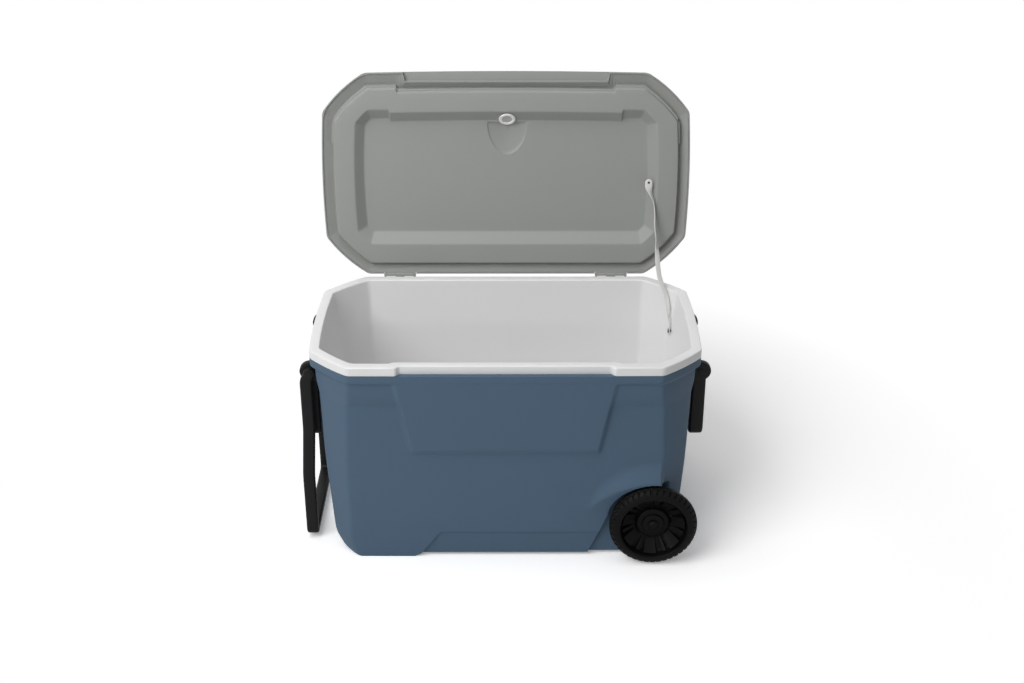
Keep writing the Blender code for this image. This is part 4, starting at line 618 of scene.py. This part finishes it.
def makeCap():
    # rings from the lip over the edge to the flat top, a pad for each hinge, and a hollow from below
    s, wall = capShape, capShape["wall"]
    rows = [lidSection(s["lip"], lidBase)] + [lidSection(by, lidBase + up) for by, up in s["edges"]]
    path = roundedPath(rows, s["softness"])
    cap = skin("capOutside", outline(path, 0.006, frontStops, frontStops, lidBows))
    pads, rooms = [], []
    for side in (-1, 1):
        middle, half = side * s["padX"] - lidRim["side"], s["padHalf"]
        pads.append(block(f"pad{side}", (middle - half, rim["y"] - s["padDeep"], lidBase + s["padLow"]),
                          (middle + half, rim["y"] + s["padOut"], lidBase + s["padHigh"])))
        half += s["leafRoom"]
        rooms.append(block(f"leafRoom{side}", (middle - half, rim["y"], lidBase - overrun),
                           (middle + half, rim["y"] + overrun, lidBase + s["leafHigh"])))
    carve(cap, pads, "UNION")
    inner = [(s["edges"][0][0] + wall, up) for up in (-overrun, 0.0)]
    inner += [(by + wall, up - s["roof"]) for by, up in s["edges"][1:4]]
    path = roundedPath([lidSection(by, lidBase + up) for by, up in inner], [0.001, 0.006, 0.004], 3, 0.02)
    hollow = skin("capHollow", outline(path, 0.014, plainStops, plainStops, lidBows))
    carve(hollow, [fingerTool(wall)])
    carve(cap, [fingerTool(0.0), hollow] + rooms)
    return settle(placeLid(cap), "lid_outer_cap", "lid", "lid_grey", ["lid_cap"], 34)


print("cap made:", len(makeCap().data.polygons))


# The lid's inner tray with its ridge, recess and thumb scoop, and the seat of the fill plug

trayShape = {
    "edge": 0.0037, "wall": 0.003, "setback": 0.0159, "backHalf": 0.1953, "grooveRise": 0.0098,
    "edgeRise": 0.002, "faceDrop": 0.006, "stepOut": 0.017, "stepIn": 0.023, "stepWide": 0.0016,
    "stepSide": 0.0045, "stepBack": 0.0044, "ridgeStep": 0.0075, "ridgeHalf": 0.207, "ridgeCut": -0.002,
    "ridgeShift": 0.0035, "slant": 0.0035, "dishX": 0.2895, "dishFront": -0.1262, "dishBack": 0.1352,
    "dishCut": 0.0245, "dishInnerCut": 0.012, "dishSlope": 0.0178, "dishRise": 0.0165, "dishLean": 0.0044,
    "dishStep": 0.0062, "dishHalf": 0.222, "dishMiddle": 0.012, "scoopHalf": 0.039, "scoopLong": 0.0635,
    "scoopDeep": 0.0065, "scoopEdge": 0.0016, "scoopSoft": 0.07, "bumpX": 0.3325, "bumpReach": 0.006,
    "bumpY": (-0.104, -0.06), "bumpOut": 0.003, "bumpSoft": 0.002,
    "softness": [0.003, 0.0035, 0.0016, 0.0007, 0.0007, 0.0007, 0.0006, 0.0006, 0.001, 0.001],
    "scoopRings": [1.0, 1.0, 0.965, 0.93, 0.86, 0.76, 0.64, 0.5, 0.35, 0.2, 0.05],
}
plugShape = {"radius": 0.016, "stem": 0.006, "deep": 0.008, "thick": 0.0022, "x": 0.0022, "along": 0.66,
             "ring": 0.6, "bed": 0.0008, "room": 0.0012, "reach": 0.03}


def dishSection(by, z):
    # the recess's outline: its cut corners close up as the slope goes in, so the floor is nearly square, and
    # its back slope is wider than the others by the lean
    s = trayShape
    share = np.interp(by, [0, s["dishSlope"]], [0, 1])
    cut = s["dishCut"] + (s["dishInnerCut"] - s["dishCut"]) * share
    front, back = s["dishFront"], s["dishBack"] - s["dishLean"] * share
    half, along = (back - front) / 2 - by, (back + front) / 2
    return (z, s["dishX"] - by, half, cut, cut, s["dishStep"], s["dishHalf"], along)


def plugSeat():
    # the middle of the recess's front slope, and the way it faces
    s, share = trayShape, plugShape["along"]
    facing = np.array([0.0, s["dishRise"] / s["dishSlope"], -1.0])
    y = s["dishFront"] + s["dishStep"] + s["dishSlope"] * share
    z = lidBase - s["faceDrop"] + s["dishRise"] * share
    return np.array([plugShape["x"], y, z]), facing / np.linalg.norm(facing)


def scoopTool(dishZ, grow=0.0):
    # a half bowl that meets the recess's front slope, which runs on down into it, and ends in a small upright
    # edge; grown by the wall, it is the back of the scoop
    s = trayShape
    turn = np.linspace(0, math.pi, 49)[None]
    reach = np.array(s["scoopRings"])[:, None]
    x = plugShape["x"] + (s["scoopHalf"] + grow) * reach * np.cos(turn)
    run = (s["scoopLong"] + grow) * reach * np.sin(turn)
    deep = s["scoopEdge"] * smoothStep((1 - reach) / s["scoopSoft"])
    deep = deep + (s["scoopDeep"] - s["scoopEdge"]) * (1 - reach ** 1.5)
    deep = np.minimum(deep, run * s["dishRise"] / s["dishSlope"])
    deep[0] = 0.0 if grow else -0.02
    y = s["dishFront"] + s["dishStep"] + s["dishSlope"] + run
    return skin(f"scoop{grow}", np.stack([x, y, dishZ + deep + grow * (deep >= 0)], -1))


def makeTray():
    # one closed path: the dish's floor and slope, the face, ridge, step, groove and edge, and back over the
    # top of the wall; then a bump at each end
    s, p, wall, hair = trayShape, plugShape, trayShape["wall"], 1e-6
    floorZ, slope = lidBase - s["faceDrop"], s["dishSlope"]
    dishZ, grooveZ = floorZ + s["dishRise"], lidBase + s["grooveRise"]
    topZ = grooveZ + wall

    def ridge(by, z, side=0.0, behind=0.0):
        z, x, y, cutX, cutY, setback, half, along = lidSection(by, z, s["ridgeStep"], s["ridgeHalf"])
        return (z, x - side, y - s["ridgeShift"] - behind / 2, cutX - side + s["ridgeCut"], cutY - behind,
                setback, half, along + s["ridgeShift"] - behind / 2)

    def edge(z):
        return lidSection(s["edge"], z, s["setback"], s["backHalf"])

    out, into, wide, middle = s["stepOut"], s["stepIn"], s["stepWide"], slope + s["dishMiddle"]
    path = [dishSection(middle, dishZ), dishSection(slope, dishZ), dishSection(0.0, floorZ),
            ridge(into + wide, floorZ), ridge(into, lidBase - seam),
            ridge(out + wide, lidBase - seam, s["stepSide"], s["stepBack"]),
            ridge(out, grooveZ, s["stepSide"], s["stepBack"]),
            edge(lidBase + s["edgeRise"]), edge(topZ), dishSection(-wall, topZ),
            dishSection(slope - wall, dishZ + wall), dishSection(middle, dishZ + wall)]
    path = roundedPath(path, s["softness"], steps=5, longest=0.02)
    grid = outline(path, 0.003, trayStops, plainStops, lidBows, s["slant"], 81)
    x, y, z = np.moveaxis(grid, -1, 0)
    low, high = s["bumpY"]
    held = smoothStep((y - low) / s["bumpSoft"]) * smoothStep((high - y) / s["bumpSoft"])
    beside = np.abs(np.abs(x) - s["bumpX"]) < s["bumpReach"]
    beside &= (z > lidBase - seam - hair) & (z < topZ - hair)
    x += np.where(beside, np.sign(x) * s["bumpOut"] * held, 0)
    tray = skin("traySkin", grid)
    seat, facing = plugSeat()
    wide, deep, reach = p["radius"] + p["room"], p["bed"], p["reach"]
    profile = [(core, -deep), (p["radius"] + seam, -deep), (wide, deep), (wide, reach), (core, reach)]
    bed = turned("plugBed", profile, seat, facing)
    hole = rod("plugHole", p["stem"] + seam, -reach, reach, seat, facing)
    carve(tray, [scoopTool(dishZ - seam, wall)], "UNION")
    carve(tray, [scoopTool(dishZ), bed, hole])
    return settle(placeLid(tray), "lid_inner_tray", "lid", "lid_grey", ["lid_tray"], 24)


print("tray made:", len(makeTray().data.polygons))


# The lid's foam, between cap and tray

foamShape = {"gap": 0.0008, "edge": 0.0048, "shoulder": 0.024, "slopeIn": 0.014, "top": 0.034, "topIn": 0.05}


def makeLidFoam():
    # one closed path along the tray's back, with a gap, and up under the cap's roof
    s, f = trayShape, foamShape
    base, top = lidBase + s["grooveRise"] + s["wall"] + f["gap"], lidBase + f["top"]
    setback, slope = s["setback"] + f["gap"], s["dishSlope"]
    dishTop = lidBase - s["faceDrop"] + s["dishRise"] + s["wall"] + s["scoopDeep"] + f["gap"]
    path = [dishSection(slope + s["dishMiddle"], dishTop), dishSection(slope - s["wall"], dishTop),
            dishSection(-s["wall"] - f["gap"], base), lidSection(f["edge"], base, setback, s["backHalf"]),
            lidSection(f["edge"], lidBase + f["shoulder"], setback, s["backHalf"]),
            lidSection(f["slopeIn"], top), lidSection(f["topIn"], top)]
    path = roundedPath(path, [0.002] * 5, steps=3, longest=0.03)
    foam = skin("foam", outline(path, 0.006, frontStops, plainStops, lidBows))
    settle(placeLid(foam), "lid_foam_fill", "lid", "foam_yellow", ["lid_foam"], 34)


# The lid's fill plug

def makePlug():
    # a turned white ring on a stem, made lighter than the liner as painted light, and the dished button it
    # holds, whose grey is painted shade
    p = plugShape
    seat, facing = plugSeat()
    seat = seat + facing * seam
    r, t = p["radius"], p["thick"]
    inner = r * p["ring"]
    ring = [(hub, -p["deep"]), (p["stem"], -p["deep"]), (p["stem"], 0.0), (r - 0.0006, 0.0), (r, 0.0006),
            (r, t * 0.5), (r - 0.0006, t * 0.8), (r - 0.0016, t * 0.97), (r - 0.0028, t),
            (inner + 0.0014, t * 0.97), (inner + 0.0006, t * 0.8), (inner, t * 0.4), (inner, -0.0002),
            (hub, -0.0002)]
    button = [(hub, seam), (inner - seam, seam), (inner - seam, t * 0.3), (inner - 0.0012, t * 0.34),
              (r * 0.45, t * 0.22), (r * 0.2, t * 0.16), (hub, t * 0.15)]
    piece = turned("plug", ring, seat, facing)
    # the ring's finish is white with painted light
    settle(placeLid(piece), "lid_fill_plug", "lid", "liner_white", ["fill_plug"], 40, "plug white with painted light")
    piece = turned("plugButton", button, seat, facing)
    # the button's grey finish is painted shade
    settle(placeLid(piece), "lid_fill_plug_button", "lid", "liner_white", (), 40, "plug painted shade grey")


makeLidFoam()
makePlug()
print("foam and plug made")


# The handles and their ears

pivotShape = {"x": 0.354, "z": 0.3555, "bore": 0.0031}
earShape = {"radius": 0.0185, "half": 0.006, "y": 0.0995, "soft": 0.0016, "rootX": 0.3345, "rootShare": 0.995}
carryShape = {"outer": 0.093, "bar": 0.012, "half": 0.0125, "drop": 0.1435, "grip": 0.022, "edge": 0.004,
              "bends": []}
towShape = {"outer": 0.118, "bar": 0.012, "half": 0.01125, "drop": 0.347, "grip": 0.014, "edge": 0.0045,
            "bends": [(0.012, 0.007), (0.115, 0.0072), (0.215, 0.0138)]}


def makeBail(name, side, s, node):
    # half a U from the eye to the middle of the grip, mirrored. A station holds the outer edge's y and z, the
    # middle's x, the inner edge's y and z, and half the width of a section with round corners.
    p, half, grip = pivotShape, s["half"], s["grip"]
    outer, inner, low = s["outer"], s["outer"] - s["bar"], p["z"] - s["drop"]

    def station(z, out=0.0):
        return (outer, z, side * (p["x"] + out), inner, z, half)

    turns = np.radians([80, 70, 60, 50, 40, 30, 20, 10])
    eye = [station(p["z"] + half * math.sin(a))[:5] + (half * math.cos(a),) for a in turns]
    stations = [station(p["z"])] + [station(p["z"] - drop, out) for drop, out in s["bends"]]
    x = stations[-1][2]
    stations += [(outer, low + grip * 0.5, x, inner, low + grip * 1.25, half),
                 (outer - grip * 0.5, low, x, inner - grip * 0.25, low + grip, half),
                 (0.0, low, x, 0.0, low + grip, half)]
    path = roundedPath(stations, [0.01] * len(s["bends"]) + [0.007, 0.007], steps=5, longest=0.01)
    path = np.concatenate([eye, path])
    mirror = path[-2::-1].copy()
    mirror[:, [0, 3]] *= -1
    outY, outZ, x, inY, inZ, half = np.concatenate([path, mirror]).T[..., None]
    thick = np.hypot(outY - inY, outZ - inZ)
    edge = np.minimum(np.minimum(s["edge"], half * 0.9), thick * 0.45)
    u, v = oblong(half, thick / 2, edge, 6)
    y, z = (outY + inY) / 2 + (outY - inY) / thick * v, (outZ + inZ) / 2 + (outZ - inZ) / thick * v
    piece = skin(name, np.stack([x + u, y, z], -1))
    reach = outer + 0.01
    carve(piece, [rod("bore", p["bore"], -reach, reach, (side * p["x"], 0, p["z"]), (0, 1, 0), 32)])
    settle(piece, name, node, "handle_black", [node], 40)


def makeEar(name, side, way):
    # a disc with softened edges on a root that runs into the end of the tub
    p, e = pivotShape, earShape
    r, h, soft = e["radius"], e["half"], e["soft"]
    profile = [(hub, -h), (r - soft, -h), (r - soft * 0.3, -h + soft * 0.3), (r, -h + soft), (r, h - soft),
               (r - soft * 0.3, h - soft * 0.3), (r - soft, h), (hub, h)]
    centre = (side * p["x"], way * e["y"], p["z"])
    ear = turned(name, profile, centre, (0, 1, 0), 72)
    (near, far), high = sorted((side * e["rootX"], side * p["x"])), r * e["rootShare"]
    root = block(name + "_root", (near, centre[1] - h, p["z"] - high), (far, centre[1] + h, p["z"] + high))
    carve(ear, [root], "UNION")
    carve(ear, [rod("bore", p["bore"], -0.02, 0.02, centre, (0, 1, 0), 32)])
    settle(ear, name, "tub", "handle_black", [name.replace("moulded_", "")], 40)


makeBail("carry_bail_left", -1, carryShape, "carry_handle_left")
makeBail("carry_bail_right", 1, carryShape, "carry_handle_right")
makeBail("tow_bail", -1, towShape, "tow_handle")
for side, end in ((-1, "left"), (1, "right")):
    for way, where in ((-1, "front"), (1, "rear")):
        makeEar(f"moulded_ear_{end}_{where}", side, way)
print("handles made")


# The wheels

treadShape = {"grooves": 42, "deep": 0.0032, "share": 0.3, "from": 0.0735, "soft": 0.0012, "lean": 16,
              "bare": 0.0026, "ribAt": 0.0055, "ribHalf": 0.0016, "ribSoft": 0.0008, "ribShare": 0.45,
              "grooveSoft": 0.1, "edge": 0.01, "curve": 0.0045, "curveHalf": 0.0108}
spokeShape = {"pockets": 7, "wide": 12.5, "narrow": 4.0, "wideAt": -4.5, "narrowAt": -28.0, "soft": 1.2,
              "narrowShare": 0.8, "from": 0.0328, "to": 0.0585, "low": 0.001, "up": 0.011, "behind": -0.0115}
wheelSides = {  # radius and height in "dish" and "hub", radius and depth below the wheel's side in the others
    "dish": [(0.003, 0.001), (0.009, 0.001), (0.0175, 0.0008), (0.0196, -0.0002), (0.0203, -0.002),
             (0.0212, -0.0034), (0.0225, -0.0036), (0.0275, -0.0038), (0.0292, -0.0044), (0.0303, -0.006),
             (0.0312, -0.0088), (0.0322, -0.0104), (0.033, -0.0108), (0.039, -0.0088), (0.045, -0.0064),
             (0.051, -0.004), (0.056, -0.002), (0.0575, -0.0012), (0.059, 0.001), (0.06, 0.006),
             (0.061, 0.011)],
    "front": [(0.0616, 0.0016), (0.0624, 0.0004), (0.0636, 0.0), (0.0652, 0.0003), (0.07, 0.002),
              (0.0735, 0.0034), (0.0752, 0.0046), (0.0765, 0.0062)],
    "back": [(0.0765, 0.0062), (0.0752, 0.0044), (0.0735, 0.003), (0.069, 0.0004), (0.064, 0.0),
             (0.062, 0.0), (0.0606, 0.0012)],
    "hub": [(0.06, -0.0148), (0.059, -0.0144), (0.056, -0.0142), (0.023, -0.014), (0.02, -0.0146),
            (0.0192, -0.02), (0.0186, -0.02345), (0.003, -0.02345)],
}


def wheelReshape(way):
    # sinks grooves into the tread and raises wide and narrow spokes in the dish
    t, s = treadShape, spokeShape

    def reshape(radius, height, angle):
        crown = smoothStep((radius - t["from"]) / t["soft"])
        cell = angle * t["grooves"] / (2 * math.pi) + np.where(height > 0, 0.0, 0.5)
        away = np.abs((cell + height * t["lean"] * way) % 1.0 - 0.5) * 2
        groove = smoothStep((away - (1 - t["share"])) / t["grooveSoft"])
        groove = groove * smoothStep((np.abs(height) - t["bare"]) / t["soft"])
        rib = smoothStep((t["ribHalf"] - np.abs(np.abs(height) - t["ribAt"])) / t["ribSoft"]) * t["ribShare"]
        radius = radius - crown * t["deep"] * np.maximum(groove, rib)
        degrees, period = np.degrees(angle) - 90, 360 / s["pockets"]

        def near(at, half):
            gap = np.abs((degrees - at + period / 2) % period - period / 2)
            return smoothStep((half - gap) / s["soft"] + 0.5)

        web = (s["from"] < radius) * (radius < s["to"]) * (height > s["behind"])
        rise = s["low"] + (s["up"] - s["low"]) * (radius - s["from"]) / (s["to"] - s["from"])
        narrow = near(s["narrowAt"], s["narrow"]) * s["narrowShare"]
        spokes = np.maximum(near(s["wideAt"], s["wide"]), narrow)
        return radius, height + web * spokes * rise
    return reshape


def makeWheel(name, way, node):
    # a turned profile from the hub's front over the tread to the hub's back
    w, t, half = wheelShape, treadShape, wheelShape["half"]
    front = wheelSides["dish"] + [(r, half - deep) for r, deep in wheelSides["front"]]
    heights = np.linspace(t["edge"], -t["edge"], 27)
    tread = [(w["radius"] - t["curve"] * (abs(h) / t["curveHalf"]) ** 3, h) for h in heights]
    back = [(r, deep - half) for r, deep in wheelSides["back"]] + wheelSides["hub"]
    centre, axis = (w["x"], way * w["y"], w["z"]), (0, way, 0)
    piece = turned(name, front + tread + back, centre, axis, 432, wheelReshape(way))
    carve(piece, [rod("wheelBore", w["bore"], -overrun, overrun, centre, axis)])
    settle(piece, name, node, "handle_black", [node], 42, "wheel black")


makeWheel("moulded_wheel_front", -1, "wheel_front")
makeWheel("moulded_wheel_rear", 1, "wheel_rear")
print("wheels made")


# The strap that stops the lid

strapShape = {"width": 0.01, "thick": 0.0015, "eye": 0.007, "eyeArc": (-84, 44), "hole": 0.0023, "sag": 0.017,
              "tab": 0.05, "twist": 0.15, "untwist": 0.7, "openFrom": 0.34, "opening": 0.17, "lidX": 0.278,
              "lidY": 0.0136, "tub": (0.3195, 0.105, 0.333),
              "bends": [(0.0, 0.0), (0.13, 0.0058), (0.34, 0.0), (0.62, -0.0052), (0.82, 0.003), (1.0, 0.0)]}


def makeStrap():
    # a flat band carried along a cubic curve, turning a quarter as it falls, with a round eye at each end
    s, eye, thick = strapShape, strapShape["eye"], strapShape["thick"]
    lidEnd = lidTurn(np.array([s["lidX"], s["lidY"], lidBase - trayShape["faceDrop"] - seam - thick / 2]))
    tubEnd = np.array(s["tub"]) - (seam + thick / 2, 0, 0)
    base, along, out = lidTurn(np.array([[0.0, 0.0, 0.0], [0.0, 1.0, 0.0], [0.0, 0.0, -1.0]]))
    along, out, down = along - base, out - base, np.array([0.0, 0.0, -1.0])
    start, end = lidEnd + along * eye, tubEnd - down * eye
    reach, third = np.linalg.norm(start - end) / 3, (end[0] - start[0]) / 3
    second, last = start + along * reach + (third, 0, 0), end + (-third, s["sag"], reach)
    t = np.linspace(0, 1, 90)[:, None]
    curve = (1 - t) ** 3 * start + 3 * t * (1 - t) ** 2 * second + 3 * t * t * (1 - t) * last + t ** 3 * end
    for (begin, low), (close, high) in zip(s["bends"], s["bends"][1:]):
        inside = (t[:, 0] >= begin) & (t[:, 0] < close)
        curve[inside, 0] += low + (high - low) * smoothStep((t[inside, 0] - begin) / (close - begin))
    ahead = np.gradient(curve, axis=0)
    ahead[0], ahead[-1] = along, down
    arc = np.radians(np.linspace(*s["eyeArc"], 22))[:, None]
    top, foot = lidEnd + along * eye * np.sin(arc), (tubEnd - down * eye * np.sin(arc))[::-1]
    places = np.concatenate([top, curve, foot])
    ways = np.concatenate([top * 0 + along, ahead, foot * 0 + down])
    ways /= np.linalg.norm(ways, axis=1, keepdims=True)
    opened = smoothStep((t - s["openFrom"]) / s["opening"]) * smoothStep((1 - t) / s["opening"])
    twist = 1 - (1 - np.clip(t / s["twist"], 0, 1)) ** 2 - s["untwist"] * opened
    turn = np.concatenate([arc * 0, twist, arc * 0 + 1])
    wide = s["width"] / 2 + (eye - s["width"] / 2) * (1 - smoothStep(t / s["tab"]))
    half = np.concatenate([eye * np.cos(np.minimum(arc, 0)), wide, eye * np.cos(arc[::-1])])
    across = (1 - turn) * np.array([1.0, 0, 0]) + turn * np.array([0, 1.0, 0])
    across -= ways * (across * ways).sum(1, keepdims=True)
    across /= np.linalg.norm(across, axis=1, keepdims=True)
    u, v = oblong(half, thick / 2, np.minimum(thick * 0.48, half * 0.9), 4)
    flat = np.cross(ways, across)
    strap = skin("strap", places[:, None] + u[..., None] * across[:, None] + v[..., None] * flat[:, None])
    carve(strap, [rod("eyeLid", s["hole"], -0.004, 0.004, lidEnd, out, 24),
                  rod("eyeTub", s["hole"], -0.004, 0.004, tubEnd, (1, 0, 0), 24)])
    settle(strap, "lid_stop_strap", None, "strap_white", ["lid_strap"], 45)
    tuple(tubEnd + shift)
    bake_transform(strap)


makeStrap()
print("strap made")


# Light, floor and camera

studio = {"floor": 0.92, "seenFloor": 1.48, "world": 0.1, "whiteShare": 0.25, "whiteFrom": 0.55,
          "whiteRise": 1.6, "floorRings": (0.02, 0.5, 1.5, 6.0, 25.0), "floorDrop": 0.0004,
          "lampAim": (0.0, 0.0, 0.3), "lampSize": 2.4}
lamps = {  # place and power
    "key lamp": ((-1.6, -1.8, 2.6), 64.0), "top lamp": ((-0.4, 0.0, 3.2), 38.0),
    "front lamp": ((-1.2, -3.0, 1.4), 9.0)}
cameraPlace = {
    "at": (0.005414, -2.409718, 1.56633), "lens": 49.756, "sensor": 36.0, "far": 60.0,
    "right": (0.999994197, -0.003314651, 0.000786528), "up": (0.000803981, 0.453978865, 0.89101209),
    "ahead": (0.00331046, 0.89100629, -0.4539789),
}


def setUp(name, data, at, right, up, back):
    # puts a lamp or the camera in its place; it looks against its third axis
    made = added(name, data)
    matrix = np.eye(4)
    matrix[:3, :3] = np.stack([right, up, back], 1)
    matrix[:3, 3] = at
    made.matrix_world = Matrix(matrix.tolist())
    return made


def makeCamera():
    # the solved camera, from its three axes
    c = cameraPlace
    data = bpy.data.cameras.new("camera")
    data.lens, data.sensor_width, data.clip_end = c["lens"], c["sensor"], c["far"]
    bpy.context.scene.camera = setUp("camera", data, c["at"], c["right"], c["up"], -np.array(c["ahead"]))


def makeLamp(name, at, power):
    # a round lamp that looks at the aim
    data = bpy.data.lights.new(name, "AREA")
    data.shape, data.size, data.energy = "DISK", studio["lampSize"], power
    back = np.array(at) - studio["lampAim"]
    back /= np.linalg.norm(back)
    side = np.cross((0.0, 0.0, 1.0), back)
    side /= np.linalg.norm(side)
    setUp(name, data, at, side, np.cross(back, side), back)


def seenRays(tree):
    # 1 for a ray from the camera, and 1 for one from the camera, a reflection or something clear
    rays = tree.nodes.new("ShaderNodeLightPath")
    names = ("Is Camera Ray", "Is Glossy Ray", "Is Transmission Ray")
    camera, glossy, clear = (Value(tree, rays.outputs[k]) for k in names)
    return camera, (camera + glossy + clear).held()


def makeFloor():
    # a wide round floor that is lit near the object and turns to plain white for the camera further out
    turn = np.linspace(0, 2 * math.pi, 96, endpoint=False)
    radius = np.array(studio["floorRings"])[:, None]
    level = np.full((len(radius), len(turn)), -studio["floorDrop"])
    grid = np.stack([radius * np.cos(turn), radius * np.sin(turn), level], -1)
    low, _, quads = quadsOf(grid)
    mesh = bpy.data.meshes.new("floor")
    mesh.from_pydata(grid.reshape(-1, 3), [], quads[:, ::-1].tolist() + [low.tolist()])
    paint = bpy.data.materials.new("pale floor")
    paint.use_nodes = True
    tree = paint.node_tree
    tree.nodes.clear()
    place = Value(tree, tree.nodes.new("ShaderNodeTexCoord").outputs["Object"])
    away = place.add("VectorMath", {"operation": "LENGTH"}, {0: place}, 1)
    far = (away - studio["whiteFrom"]) * studio["whiteRise"] + studio["whiteShare"]
    far = far.held(studio["whiteShare"])
    camera, seen = seenRays(tree)
    pale = camera * (studio["seenFloor"] - studio["floor"]) + studio["floor"]
    lit = place.add("BsdfDiffuse", {}, {"Color": pale})
    white = place.add("Emission", {}, {"Color": (1.0, 1.0, 1.0, 1.0), "Strength": 1.0})
    mixed = place.add("MixShader", {}, {0: far * seen, 1: lit, 2: white})
    output = tree.nodes.new("ShaderNodeOutputMaterial")
    tree.links.new(mixed.socket, output.inputs["Surface"])
    mesh.materials.append(paint)
    added("floor", mesh)


def makeWorld():
    # white where a ray from the camera or a reflection sees it, and a softer white as light
    world = bpy.data.worlds.new("studio")
    bpy.context.scene.world = world
    world.use_nodes = True
    tree = world.node_tree
    tree.nodes.clear()
    seen = seenRays(tree)[1]
    strength = seen * (1.0 - studio["world"]) + studio["world"]
    sky = seen.add("Background", {}, {"Color": (1.0, 1.0, 1.0, 1.0), "Strength": strength})
    output = tree.nodes.new("ShaderNodeOutputWorld")
    tree.links.new(sky.socket, output.inputs["Surface"])


makeCamera()
makeFloor()
makeWorld()
for name, (at, power) in lamps.items():
    makeLamp(name, at, power)
bpy.context.scene.view_settings.view_transform = "Standard"
print("studio ready")
